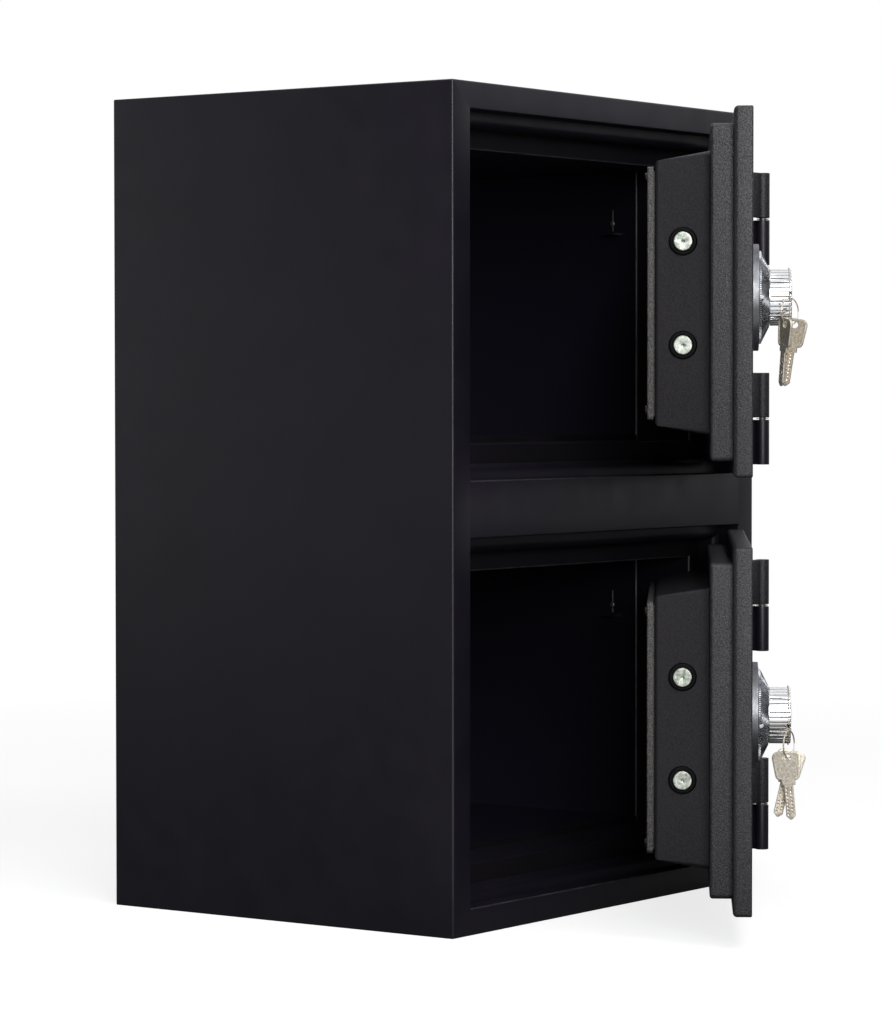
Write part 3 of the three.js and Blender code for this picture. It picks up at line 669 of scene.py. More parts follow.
def textured_powder_coat(name, dark, light, relief, sheen=0.5):
    """Black powder coat with a fine sand texture, which breaks its sheen into small grains.
    The grains are drawn 1.2 mm wide, coarser than real, so that they show. relief is their height in mm."""
    made, tree = material(name, light, 0.5, Specular_IOR_Level=sheen)
    grain = noise(tree, 1.2, 1, 0.5)
    vary_colour(tree, grain, dark, light, (0.4, 0.6))
    vary_roughness(tree, noise(tree, 1.7, 2), 0.42, 0.58)
    raise_surface(tree, grain, relief)
    return made


def gloss_enamel():
    """Gloss black enamel inside the compartments: almost no colour of its own, with soft long reflections
    from slightly wavy sheet."""
    made, tree = material("gloss_enamel", "#1c1b25", 0.16)
    vary_roughness(tree, noise(tree, 30, 3), 0.13, 0.22)
    wave = raise_surface(tree, noise(tree, 45, 1), 0.35)
    raise_surface(tree, noise(tree, 3, 2), 0.01, wave)
    return made


def zinc_plate():
    """Bright zinc-plated turned steel: silvery with fine turning rings and a faint uneven passivate tint."""
    made, tree = material("zinc_plate", "#a3a79f", 0.44, 1.0)
    stain = noise(tree, 3.2, 4, 0.6)
    vary_colour(tree, stain, "#7b857b", "#b4b6ae", (0.38, 0.6))
    vary_roughness(tree, noise(tree, 1.4, 3), 0.4, 0.52)
    raise_surface(tree, noise(tree, 1.1, 3), 0.03)
    return made


def plain_steel():
    """Cold-rolled mild steel with an oily grey surface and fine rolling grain along X."""
    made, tree = material("plain_steel", "#8b8e91", 0.38, 1.0)
    drawn_out = add_node(tree, "ShaderNodeMapping", {
        "Vector": tree.nodes["where"].outputs["Object"], "Scale": (0.05, 1, 1)})
    grain = noise(tree, 0.5, 4, where=drawn_out)
    vary_colour(tree, grain, "#75787b", "#9a9da0")
    raise_surface(tree, grain, 0.01)
    return made


def lock_brass():
    """Machined brass: warm yellow, slightly dulled by handling."""
    made, tree = material("lock_brass", "#b9994f", 0.3, 1.0)
    vary_colour(tree, noise(tree, 7, 4), "#9d8040", "#c6a860")
    raise_surface(tree, noise(tree, 0.7, 3), 0.01)
    return made


def dial_chrome():
    """Bright chrome plate on a zinc casting: a clean mirror, softened a little by its polish lines."""
    made, tree = material("dial_chrome", "#eceef0", 0.09, 1.0)
    vary_roughness(tree, noise(tree, 9, 3), 0.07, 0.12)
    raise_surface(tree, noise(tree, 6, 2), 0.006)
    return made


def satin_chrome_plate():
    """Chrome over a blasted casting: grey and soft, with fine lines that run round it."""
    made, tree = material("satin_chrome_plate", "#7f8184", 0.4, 1.0)
    vary_colour(tree, noise(tree, 8, 3), "#6d6f72", "#8b8d90")
    vary_roughness(tree, noise(tree, 1.2, 3), 0.34, 0.48)
    raise_surface(tree, noise(tree, 0.9, 2), 0.015)
    return made


def shade_darkened_chrome_plate():
    """Chrome on knurled metal, darkened as painted shade between the diamonds, with a glint on each point."""
    made, tree = material("shade_darkened_chrome_plate", "#77797c", 0.24, 1.0)
    vary_colour(tree, noise(tree, 2.5, 3), "#626467", "#8a8c90")
    vary_roughness(tree, noise(tree, 1.5, 2), 0.18, 0.32)
    return made


def key_nickel():
    """Nickel-plated key stock, tumbled: warm silver, mottled by fine dents and handling."""
    made, tree = material("key_nickel", "#ddd6c8", 0.46, 0.7)
    mottle = noise(tree, 1.6, 4, 0.65)
    vary_colour(tree, mottle, "#cbbfa9", "#f6efe3", (0.35, 0.6))
    vary_roughness(tree, noise(tree, 0.9, 3), 0.4, 0.56)
    raise_surface(tree, mottle, 0.06)
    return made


def black_screw_steel():
    """Blackened screw steel: almost black, with an oily glint on its edges."""
    made, tree = material("black_screw_steel", "#2b2b2d", 0.4, 1.0)
    vary_colour(tree, noise(tree, 1.5, 3), "#1f1f21", "#3a3a3c")
    return made


def moulded_nylon():
    """Black moulded nylon: satin, with the faint grain of its mould."""
    made, tree = material("moulded_nylon", "#070709", 0.6, Specular_IOR_Level=0.1)
    vary_roughness(tree, noise(tree, 3, 3), 0.52, 0.66)
    raise_surface(tree, noise(tree, 0.6, 2), 0.01)
    return made


def cast_fill():
    """Light mineral fill, cast in place: chalky grey, pitted with small air bubbles."""
    made, tree = material("cast_fill", "#97938b", 0.95)
    vary_colour(tree, noise(tree, 12, 6, 0.7), "#85817a", "#a8a49b")
    raise_surface(tree, noise(tree, 3, 5, 0.7), 0.5)
    return made


def marking_paint(name, colour):
    """Enamel wiped into the dial's marks: flat and slightly uneven."""
    made, tree = material(name, colour, 0.5)
    parts = [int(colour[start:start + 2], 16) for start in (1, 3, 5)]
    shade = "#%02x%02x%02x" % tuple(max(part - PAINT_SHADE, 0) for part in parts)
    vary_colour(tree, noise(tree, 0.8, 3), shade, colour)
    return made


coat = satin_powder_coat()
# Darker, duller coat for recesses: painted shade
recess_shade_coat = recess_shade_powder_coat()
# Lighter coats for rounded edges: painted highlight lines
edge_highlight_coat = painted_highlight_powder_coat("painted_highlight_powder_coat", "#2b2930", "#49464e")
# An even lighter one for edges turned sideways: brighter painted highlight lines
strong_highlight_coat = painted_highlight_powder_coat("strong_highlight_powder_coat", "#645f68", "#8b868e")
texture = textured_powder_coat("textured_powder_coat", "#0e0d10", "#343236", 0.24, 0.46)
# A darker, less glossy copy of the textured coat for the lock boxes: painted shade
shaded_box_texture = textured_powder_coat("textured_powder_coat_painted_shade", "#0b0a0d", "#201d22", 0.12, 0.34)
# A lighter copy of the textured coat for the covers: painted highlight
lit_cover_texture = textured_powder_coat("textured_powder_coat_painted_highlight", "#1c1b1d", "#55524f", 0.3)
enamel = gloss_enamel()
zinc = zinc_plate()
steel = plain_steel()
brass = lock_brass()
chrome = dial_chrome()
satin_chrome = satin_chrome_plate()
# Chrome darkened for the knurled dial: painted shade
knurl_shade_chrome = shade_darkened_chrome_plate()
nickel = key_nickel()
nylon = moulded_nylon()
black_steel = black_screw_steel()
fill = cast_fill()
white_paint = marking_paint("white_mark_paint", "#ffffff")
cream_paint = marking_paint("cream_mark_paint", "#c9bfae")
black_paint = marking_paint("black_mark_paint", "#1b1b1d")


# Cabinet
def outer_shell():
    """Folded shell with rolled front edges, and two openings whose edges turn inwards."""
    place = cabinet_place()
    low, high = span("outer_shell", place)
    width, depth, height = high - low
    size, middle = (width, height), (0.0, height / 2)
    bm = bmesh.new()
    bend = arc(SHELL_BEND, SHELL_BEND, SHELL_BEND, 270, 180)
    outer = skin(bm, size, [*bend, (0, depth)], SHELL_CORNER, middle)
    inner = skin(bm, size, [(SHELL_SHEET, SHELL_SHEET), (SHELL_SHEET, depth)], SHELL_CORNER, middle)
    bridge(bm, outer[-1], inner[-1])
    edge = [*arc(-OPENING_ROUND, OPENING_ROUND, OPENING_ROUND, 270, 360), (0, SHELL_SHEET)]
    holes, sills = [], []
    for prefix in PREFIXES:
        low, high = span(prefix + "door_frame", place)
        holes.append(skin(bm, inside(low, high, FRAME_SHEET), edge, OPENING_CORNER,
                          (0, (low.z + high.z) / 2)))
        sills.append((place @ Vector((0, 0, low.z + FRAME_SHEET))).z)
    cap(bm, outer[0], *[hole[0] for hole in holes])
    cap(bm, inner[0], *[hole[-1] for hole in holes])
    made = node_piece("outer_shell", bm, place, coat, "cabinet")
    # The sills' rounded front edges take the lighter coat: a painted highlight line.
    refinish(made, edge_highlight_coat, lambda face: face.normal.y < -TILTED and face.normal.z > TILTED
             and any(0 <= sill - face.center.z < OPENING_ROUND * MM for sill in sills))


def back_panel():
    place = cabinet_place()
    low, high = span("back_panel", place)
    bm = bmesh.new()
    rows = [(0, low.y), *arc(BACK_ROUND, high.y - BACK_ROUND, BACK_ROUND, 180, 90)]
    pressed(bm, inside(low, high), rows, SHELL_CORNER, (0.0, (low.z + high.z) / 2))
    node_piece("back_panel", bm, place, coat, "cabinet")


def door_frame(prefix):
    """Stepped frame: a reveal, a rolled shoulder, a second reveal, a flange and the tunnel behind it."""
    place = cabinet_place(prefix)
    low, high = span(prefix + "door_frame", place)
    size, end = inside(low, high, FRAME_SHEET), high.y
    roll_inset = SHOULDER - SHOULDER_ROLL
    roll_depth = FIRST_REVEAL + SHOULDER_ROLL
    tunnel = SHOULDER + FLANGE_WIDTH
    section = [
        (0, SHELL_SHEET),
        (0, FIRST_REVEAL),
        *arc(roll_inset, roll_depth, SHOULDER_ROLL, 270, 360),
        (SHOULDER, FLANGE_DEPTH),
        *arc(tunnel - FLANGE_ROUND, FLANGE_DEPTH + FLANGE_ROUND, FLANGE_ROUND, 270, 360),
        *arc(tunnel - TUNNEL_END_ROUND, end - TUNNEL_END_ROUND, TUNNEL_END_ROUND, 0, 90),
        (tunnel - FRAME_SHEET, end),
        (tunnel - FRAME_SHEET, FLANGE_DEPTH + FRAME_SHEET),
        (SHOULDER - FRAME_SHEET, FLANGE_DEPTH + FRAME_SHEET),
        *arc(roll_inset, roll_depth, SHOULDER_ROLL - FRAME_SHEET, 360, 270),
        (-FRAME_SHEET, FIRST_REVEAL + FRAME_SHEET),
        (-FRAME_SHEET, SHELL_SHEET),
    ]
    bm = bmesh.new()
    skin(bm, size, section, OPENING_CORNER, endless=True)
    made = mesh_object(prefix + "door_frame_shape", bm, place)
    wall = tunnel - size[0] / 2
    drill(made, place, STRIKE_HOLE_RADIUS, wall - 2 * FRAME_SHEET, wall + FRAME_SHEET)
    dress(made, coat, "cabinet", [prefix + "door_frame"])
    flange = front + FLANGE_DEPTH * MM

    def rounded(face):
        return (0 < face.center.y - flange - FLANGE_EVEN * MM < FLANGE_ROUND * MM
                and abs(face.normal.y) > TILTED)

    # The flange deep in the recess takes the darker coat: painted shade.
    refinish(made, recess_shade_coat, lambda face: abs(face.center.y - flange) < FLANGE_EVEN * MM)
    # The flange's rounded edges take a lighter coat: a painted highlight line.
    refinish(made, edge_highlight_coat, lambda face: rounded(face) and face.normal.z < TILTED)
    # Its upright rounded edges take the lightest coat: a brighter painted highlight line.
    refinish(made, strong_highlight_coat, lambda face: rounded(face) and abs(face.normal.x) > TILTED)


def liner(prefix):
    """Inner box with a shelf rest, its slot and a small screw on each side wall, and a lip at its sill."""
    place = cabinet_place(prefix)
    low, high = span(prefix + "liner", place)
    width, height = inside(low, high, LINER_SHEET)
    middle, start, end = (low.z + high.z) / 2, low.y, high.y
    rows = [
        (LINER_CORNER, end),
        *arc(LINER_CORNER - LINER_SHEET, end - LINER_CORNER, LINER_CORNER, 90, 180),
        (-LINER_SHEET, start + LINER_MOUTH_ROUND),
        (-LINER_MOUTH_ROUND, start),
        *arc(-LINER_MOUTH_ROUND, start + LINER_MOUTH_ROUND, LINER_MOUTH_ROUND, 270, 360),
        *arc(LINER_CORNER, end - LINER_SHEET - LINER_CORNER, LINER_CORNER, 180, 90),
    ]
    bm = bmesh.new()
    pressed(bm, (width, height), rows, LINER_CORNER, (0.0, middle))
    made = mesh_object(prefix + "liner_shape", bm, place)
    top = span(prefix + "door_frame", place)[1].z - FRAME_SHEET - REST_DROP
    cut_out(made, rest_slots(width, top), place)
    pressings = bmesh.new()
    for side in (-1, 1):
        shelf_rest(pressings, side, side * width / 2, top)
    floor, sill = middle - height / 2, start - LEAST_CORNER
    prism(pressings, four_corners((start - LINER_LIP - LEAST_CORNER, sill), (floor, floor - LINER_LIP_DROP)),
          -width / 2, width / 2, ACROSS)
    join(made, pressings, place)
    dress(made, enamel, "cabinet", [prefix + "liner"])
    mouth = (place @ Vector((0, start + LINER_MOUTH_ROUND, 0))).y
    # The liner's mouth takes the darker coat: painted shade that dims its highlight.
    refinish(made, recess_shade_coat, lambda face: face.center.y < mouth)
    # The mouth's upright rounded edges take the lightest coat: a painted highlight line.
    refinish(made, strong_highlight_coat, lambda face: face.center.y < mouth and face.normal.y < -TILTED
             and abs(face.normal.x) > TILTED)
    for side, word in ((-1, "left"), (1, "right")):
        bm = bmesh.new()
        turn = Matrix.Translation((side * width / 2, REST_MIDDLE, top + REST_SCREW_RISE))
        screw_head(bm, REST_SCREW_RADIUS, REST_SCREW_HEAD, REST_SCREW_ROUND,
                   turn @ Matrix.Rotation(math.radians(side * 90), 4, "Z"), REST_SCREW_SEGMENTS)
        dress(mesh_object(f"{prefix}rest_screw_{word}", bm, place), zinc, "cabinet")


def rest_slots(width, top):
    """Cutter for the upright slot above each shelf rest."""
    slot_width, slot_height = REST_SLOT
    reach = slot_height / 2 - slot_width / 2
    outline = arc(0, reach, slot_width / 2, 0, 180) + arc(0, -reach, slot_width / 2, 180, 360)
    slots = bmesh.new()
    prism(slots, outline, -width, width,
          Matrix.Translation((0, REST_MIDDLE, top + LINER_SHEET + slot_height / 2)) @ ACROSS)
    return slots


def shelf_rest(bm, side, wall, top):
    """A rest pressed out of a side wall, with a round root above and below."""
    root = top - LINER_SHEET - REST_BEND
    profile = [(wall, top + REST_BEND), (wall, root)]
    profile += [(wall - side * x, root + z) for x, z in arc(REST_BEND, 0, REST_BEND, 180, 90)]
    profile += [(wall - side * REST_REACH, top - LINER_SHEET), (wall - side * REST_REACH, top)]
    profile += [(wall - side * x, top + z) for x, z in arc(REST_BEND, REST_BEND, REST_BEND, 270, 180)]
    prism(bm, profile, -REST_WIDTH / 2, REST_WIDTH / 2, Matrix.Translation((0, REST_MIDDLE, 0)) @ SIDEWAYS)


def screw_head(bm, radius, height, edge, place, segments):
    """A plain round screw head with a rounded rim, standing along +Y."""
    turned(bm, [(0, 0), (radius, 0), *arc(radius - edge, height - edge, edge, 0, 90), (0, height)],
           place, segments)


# Doors
def spindle_x(prefix):
    """Where the spindle passes through a door."""
    low, high = span(prefix + "dial_ring", door_place(prefix))
    return (low.x + high.x) / 2


def door_plate(prefix):
    """Outer pan, with a ledge round its open rear that the step stands on."""
    place = door_place(prefix)
    low, high = span(prefix + "door_plate", place)
    depth = high.y
    ledge = span(prefix + "door_step", place)[0].x - low.x + STEP_SHEET
    rows = [
        *arc(PLATE_FRONT_ROUND, PLATE_FRONT_ROUND, PLATE_FRONT_ROUND, 270, 180),
        *arc(PLATE_REAR_ROUND, depth - PLATE_REAR_ROUND, PLATE_REAR_ROUND, 180, 90),
        (ledge, depth),
        (ledge, depth - PLATE_LEDGE),
        (PLATE_SKIN, depth - PLATE_LEDGE),
        (PLATE_SKIN, PLATE_SKIN),
    ]
    bm = bmesh.new()
    pressed(bm, inside(low, high), rows, PLATE_CORNER, hole=(spindle_x(prefix), SPINDLE_HOLE))
    node_piece(prefix + "door_plate", bm, place, texture, prefix + "door")


def door_step(prefix):
    """Second, smaller pan, open towards the plate."""
    place = door_place(prefix)
    low, high = span(prefix + "door_step", place)
    rows = [
        (STEP_SHEET, high.y - STEP_SHEET),
        (STEP_SHEET, low.y),
        (0, low.y),
        *arc(STEP_ROUND, high.y - STEP_ROUND, STEP_ROUND, 180, 90),
    ]
    bm = bmesh.new()
    pressed(bm, inside(low, high), rows, STEP_CORNER, hole=(spindle_x(prefix), SPINDLE_HOLE))
    node_piece(prefix + "door_step", bm, place, texture, prefix + "door")


def lock_box(prefix):
    """Tapered box with a flange round its open rear, and a hole for each collar in its free side."""
    place = door_place(prefix)
    low, high = span(prefix + "lock_box", place)
    size, start, end = inside(low, high), low.y, high.y
    slope = BOX_TAPER / (end - start)
    rows = [
        (0, start),
        (BOX_TAPER - BOX_ROUND * slope, end - BOX_ROUND),
        *arc(BOX_TAPER + BOX_ROUND, end - BOX_ROUND, BOX_ROUND, BOX_ROUND_START, 90),
        (BOX_TAPER + BOX_FLANGE, end),
        (BOX_TAPER + BOX_FLANGE, end - BOX_SHEET),
        (BOX_TAPER + BOX_SHEET, end - BOX_SHEET),
        (BOX_SHEET, start),
    ]
    bm = bmesh.new()
    skin(bm, size, rows, BOX_CORNER, endless=True)
    made = mesh_object(prefix + "lock_box_shape", bm, place)
    wall = slope * (BOLT_DEPTH - start) - size[0] / 2
    drill(made, place, COLLAR_RADIUS + BORE_GAP, wall - COLLAR_HOLE_REACH, wall + COLLAR_HOLE_REACH)
    # The box takes the darker copy of the coat: painted shade.
    dress(made, shaded_box_texture, prefix + "door", [prefix + "lock_box"])


def lock_box_cover(prefix):
    """Flat cover on a raised seat, held by pan-head screws near its corners."""
    place = door_place(prefix)
    low, high = span(prefix + "lock_box_cover", place)
    width, height = inside(low, high)
    rows = [
        (COVER_SEAT, span(prefix + "lock_box", place)[1].y + BORE_GAP),
        (COVER_SEAT, high.y - COVER_THICKNESS),
        (0, high.y - COVER_THICKNESS),
        *arc(COVER_ROUND, high.y - COVER_ROUND, COVER_ROUND, 180, 90),
    ]
    bm = bmesh.new()
    pressed(bm, (width, height), rows, COVER_SEAT)
    # The cover takes the lighter copy of the coat: painted highlight.
    node_piece(prefix + "lock_box_cover", bm, place, lit_cover_texture, prefix + "door")
    screws = bmesh.new()
    for x in (COVER_SCREW_INSET - width / 2, width / 2 - COVER_SCREW_INSET):
        for z in (COVER_SCREW_INSET - height / 2, height / 2 - COVER_SCREW_INSET):
            screw_head(screws, SCREW_RADIUS, SCREW_HEAD, SCREW_ROUND, Matrix.Translation((x, high.y, z)),
                       SCREW_SEGMENTS)
    dress(mesh_object(prefix + "cover_screws", screws, place), black_steel, prefix + "door")


def bolt_guide(prefix):
    """Moulded strip inside the box, with a round-edged collar for each bolt."""
    place = door_place(prefix)
    low, high = span(prefix + "bolt_guide", place)
    end, bore = high.x, BOLT_RADIUS + BORE_GAP
    strip = bmesh.new()
    prism(strip, four_corners((end - GUIDE_THICKNESS, end), (low.y, high.y)), low.z, high.z)
    round_edges(strip, LEAF_ROUND)
    made = mesh_object(prefix + "bolt_guide_shape", strip, place)
    drill(made, place, bore, low.x, end + BORE_PAST)
    collars = bmesh.new()
    for axis in BOLT_AXES.values():
        turned(collars, [
            (bore, end - GUIDE_THICKNESS / 2),
            *arc(bore + COLLAR_ROUND / 2, low.x + COLLAR_ROUND / 2, COLLAR_ROUND / 2, 180, 270),
            *arc(COLLAR_RADIUS - COLLAR_ROUND, low.x + COLLAR_ROUND, COLLAR_ROUND, 270, 360),
            (COLLAR_RADIUS, end - GUIDE_THICKNESS / 2),
        ], axis, endless=True)
    join(made, collars, place)
    dress(made, nylon, prefix + "door", [prefix + "bolt_guide"])


def bolt(prefix, word):
    """Turned bolt with a chamfered end, a faced tip and its lathe centre."""
    place = door_place(prefix)
    low, high = span(prefix + "bolt_" + word, place)
    tip, end = low.x, high.x
    bm = bmesh.new()
    turned(bm, [
        *[(radius, tip + depth) for radius, depth in BOLT_TIP],
        (BOLT_RADIUS - BOLT_CHAMFER, tip),
        *arc(BOLT_RADIUS - BOLT_CHAMFER, tip + BOLT_CHAMFER, BOLT_CHAMFER, 270, 360),
        (BOLT_RADIUS, end - SPIGOT_LENGTH),
        (SPIGOT_RADIUS, end - SPIGOT_LENGTH),
        (SPIGOT_RADIUS, end - BOLT_CHAMFER),
        (SPIGOT_RADIUS - BOLT_CHAMFER, end),
        (0, end),
    ], BOLT_AXES[word])
    node_piece(prefix + "bolt_" + word, bm, place, zinc, prefix + "boltwork")


# Dial
def dial_axis(prefix):
    """A place whose Y axis is the dial's, with distances in front of the door as positive numbers."""
    return door_place(prefix) @ Matrix.Translation((spindle_x(prefix), 0, 0)) @ Matrix.Scale(-1, 4, (0, 1, 0))


def dial_end(prefix, place):
    """How far the knob stands out."""
    return span(prefix + "dial", place)[1].y - KNOB_DROP


def dial_ring(prefix):
    """Fixed ring with a shallow step round its rim."""
    place = dial_axis(prefix)
    low, high = span(prefix + "dial_ring", place)
    top, bottom = high.y - RING_DROP, low.y
    outer = RING_RADIUS - RING_STEP
    bm = bmesh.new()
    turned(bm, [
        (SPINDLE_HOLE, bottom),
        (RING_RADIUS - RING_EDGE, bottom),
        (RING_RADIUS, bottom + RING_EDGE),
        (RING_RADIUS, RING_STEP_START),
        (outer, RING_STEP_END),
        (outer, top - RING_BEVEL - RING_STEP),
        *arc(outer - RING_BEVEL, top - RING_BEVEL, RING_BEVEL, 0, 90),
        *arc(RING_INNER + RING_EDGE, top - RING_EDGE, RING_EDGE, 90, 180),
        (RING_INNER, RING_FLOOR),
        (SPINDLE_HOLE, RING_FLOOR),
    ], segments=DIAL_SEGMENTS, endless=True)
    node_piece(prefix + "dial_ring", bm, place, satin_chrome, prefix + "door")


def around_dial(bm, rows, segments):
    """A loop round the dial's axis for each (radius, distance). A third value says how far the radius dips
    as the loop goes round."""
    loops = []
    for radius, distance, *dip in rows:
        loop = []
        for step in range(segments):
            turn = step / segments
            angle = 2 * math.pi * turn
            reach = radius - dip[0](turn) if dip else radius
            loop.append(bm.verts.new((reach * math.cos(angle), distance, reach * math.sin(angle))))
        loops.append(loop)
    return loops


def zigzag(turns):
    """Falls from 1 to 0 and rises again with each whole turn."""
    return abs(2 * (turns % 1) - 1)


def knurled_cone(bm, start, end):
    """Loops of a cone from one (radius, distance) to another, covered in small diamond pyramids."""
    segments = KNURL_STEPS * KNURL_TEETH
    rows = KNURL_STEPS * KNURL_ROWS
    slope = Vector((end[0] - start[0], end[1] - start[1])).normalized()
    outward = Vector((slope.y, -slope.x))
    loops = []
    for row in range(rows + 1):
        share = row / rows
        loop = []
        for step in range(segments):
            turn = step / KNURL_STEPS
            peak = min(zigzag(turn + KNURL_ROWS * share), zigzag(turn - KNURL_ROWS * share))
            lift = KNURL_HEIGHT * (peak - 1) if 0 < row < rows else -KNURL_HEIGHT
            radius = start[0] + (end[0] - start[0]) * share + outward.x * lift
            distance = start[1] + (end[1] - start[1]) * share + outward.y * lift
            angle = 2 * math.pi * step / segments
            loop.append(bm.verts.new((radius * math.cos(angle), distance, radius * math.sin(angle))))
        loops.append(loop)
    return loops


def dial(prefix):
    """Dial with a toothed rim and a knurled cone, which the knob stands in."""
    place = dial_axis(prefix)
    bottom = span(prefix + "dial", place)[0].y
    segments = KNURL_STEPS * KNURL_TEETH
    seat = COLLET_RADIUS + BORE_GAP
    cone_top, cone_drop = CONE_TOP
    lip, lip_drop = CONE_LIP

    def toothed(turn):
        return RIM_TOOTH * max(0.0, 2 * zigzag(turn * KNURL_TEETH) - 1)

    bm = bmesh.new()
    close_body(bm, [
        *around_dial(bm, [
            (PIN_RADIUS, bottom),
            (RIM_RADIUS, bottom),
            (RIM_RADIUS, DIAL_RIM - TOOTH_START),
            (RIM_RADIUS, DIAL_RIM - TOOTH_FULL, toothed),
            (RIM_RADIUS - RIM_LEAN, DIAL_RIM - TOOTH_END, toothed),
            (RIM_RADIUS - RIM_TOP_INSET, DIAL_RIM - RIM_TOP_DROP),
        ], segments),
        *knurled_cone(bm, (RIM_RADIUS - CONE_INSET, DIAL_RIM),
                      (KNOB_RADIUS + cone_top, KNOB_BASE - cone_drop)),
        *around_dial(bm, [
            (KNOB_RADIUS - lip, KNOB_BASE - lip_drop),
            (seat, KNOB_BASE - lip_drop),
            (seat, COLLET_DEPTH - BORE_GAP),
        ], segments),
    ])
    # The dial takes the darkened chrome: painted shade between its diamonds.
    node_piece(prefix + "dial", bm, place, knurl_shade_chrome, prefix + "dial")


def knob(prefix):
    """Fluted knob with a dished end, bored for the key plug."""
    place = dial_axis(prefix)
    end = dial_end(prefix, place)
    bore = PLUG_RADIUS + BORE_GAP

    def fluted(depth):
        return lambda turn: depth * max(
            0.0, (zigzag(turn * KNOB_FLUTES) - 1 + FLUTE_WIDTH) / FLUTE_WIDTH) ** FLUTE_ROUND

    rows = [
        (COLLET_RADIUS, COLLET_DEPTH),
        (COLLET_RADIUS, KNOB_BASE - KNOB_FOOT_START),
        (KNOB_RADIUS - KNOB_FOOT_BEVEL, KNOB_BASE - KNOB_FOOT_START, fluted(FLUTE_DEPTH - KNOB_FOOT_BEVEL)),
        (KNOB_RADIUS, KNOB_BASE - KNOB_FOOT_END, fluted(FLUTE_DEPTH)),
    ]
    for inset, distance in arc(KNOB_BEVEL, end - KNOB_BEVEL, KNOB_BEVEL, 180, 90):
        share = (distance - end + KNOB_BEVEL) / KNOB_BEVEL
        rows.append((KNOB_RADIUS - inset, distance, fluted(FLUTE_DEPTH * (1 - share))))
    rows += [
        (KNOB_RADIUS - KNOB_RIM, end),
        (KNOB_RADIUS - KNOB_RIM - DISH_SLOPE, end - DISH_DEPTH),
        (PLUG_RADIUS + PLUG_RIM + DISH_SLOPE, end - DISH_DEPTH),
        (PLUG_RADIUS + PLUG_RIM, end),
        (bore, end),
        (bore, end - PLUG_RECESS - PLUG_BORE - BORE_GAP),
    ]
    bm = bmesh.new()
    close_body(bm, around_dial(bm, rows, KNOB_FLUTES * FLUTE_STEPS))
    dress(mesh_object(prefix + "knob", bm, place), chrome, prefix + "dial")


def key_plug(prefix):
    """Brass plug with a chamfered, dished face and its keyway."""
    place = dial_axis(prefix)
    low, high = span(prefix + "key_plug", place)
    start, end = low.y, high.y
    floor = end - PLUG_DISH_DEPTH
    bm = bmesh.new()
    turned(bm, [(0, start), (PLUG_RADIUS, start), (PLUG_RADIUS, end - PLUG_CHAMFER),
                (PLUG_RADIUS - PLUG_CHAMFER, end), (PLUG_DISH[0], end), (PLUG_DISH[1], floor), (0, floor)])
    made = mesh_object(prefix + "key_plug_shape", bm, place)
    slot = bmesh.new()
    pressed(slot, KEYWAY, [(0, end - KEYWAY_DEPTH), (0, end + CUT_PAST)], KEYWAY_CORNER)
    cut_out(made, slot, place)
    dress(made, brass, prefix + "key_plug", [prefix + "key_plug"])


def ring_graduations(prefix, place, top):
    """A hundred generic graduations on the fixed ring, longer at each five and ten."""
    bm = bmesh.new()
    start = RING_INNER + GRADUATION_START
    for step in range(GRADUATIONS):
        length, width = next(size for every, size in GRADUATION_SIZES if step % every == 0)
        turn = Matrix.Rotation(math.radians(360 / GRADUATIONS * step - 90), 4, "Y")
        prism(bm, four_corners((start, start + length), (-width / 2, width / 2)),
              top - MARK_SINK, top + MARK_HEIGHT, turn @ SIDEWAYS)
    dress(mesh_object(prefix + "ring_graduations", bm, place), black_paint, prefix + "door")


def ring_numbers(prefix, place, top):
    """Generic numbers on the fixed ring, 0 to 90 in tens."""
    numbers = bmesh.new()
    for step in range(NUMBERS):
        curve = bpy.data.curves.new("number", "FONT")
        curve.body = str(GRADUATIONS // NUMBERS * step)
        curve.size = NUMBER_SIZE
        curve.extrude = MARK_HEIGHT / 2
        curve.align_x = curve.align_y = "CENTER"
        text = add_object("number", curve)
        mesh = bpy.data.meshes.new_from_object(text.evaluated_get(bpy.context.evaluated_depsgraph_get()))
        mesh.transform(Matrix.Rotation(math.radians(360 / NUMBERS * step), 4, "Y")
                       @ Matrix.Translation((0, top + MARK_HEIGHT / 2, RING_INNER + NUMBER_START))
                       @ Matrix.Rotation(math.radians(90), 4, "X"))
        numbers.from_mesh(mesh)
        bpy.data.objects.remove(text)
        bpy.data.curves.remove(curve)
        bpy.data.meshes.remove(mesh)
    dress(mesh_object(prefix + "ring_numbers", numbers, place), black_paint, prefix + "door")


def dial_index(prefix, place, turn):
    """White index mark that runs over the dial's rim and up its cone."""
    slope = math.atan2(KNOB_BASE - DIAL_RIM, RIM_RADIUS - KNOB_RADIUS)
    lay = turn @ Matrix.Translation((-RIM_RADIUS, DIAL_RIM, 0)) @ Matrix.Rotation(slope, 4, "Z")
    length, width, height = INDEX_SIZE
    index = bmesh.new()
    prism(index, four_corners((-INDEX_OVERLAP, length), (-width / 2, width / 2)), -MARK_ROOT, height,
          lay @ SIDEWAYS)
    prism(index, four_corners((-RIM_RADIUS - height, MARK_ROOT - RIM_RADIUS),
                              (DIAL_RIM - length / 2, DIAL_RIM)), -width / 2, width / 2, turn)
    round_edges(index, INDEX_ROUND)
    dress(mesh_object(prefix + "dial_index", index, place), white_paint, prefix + "dial")


def knob_line(prefix, place, turn):
    """Fine cream line along the knob."""
    width, height = KNOB_LINE
    line = bmesh.new()
    prism(line, four_corners((-KNOB_RADIUS - height, MARK_ROOT - KNOB_RADIUS),
                             (KNOB_BASE, dial_end(prefix, place) - KNOB_BEVEL)), -width / 2, width / 2, turn)
    dress(mesh_object(prefix + "knob_line", line, place), cream_paint, prefix + "dial")


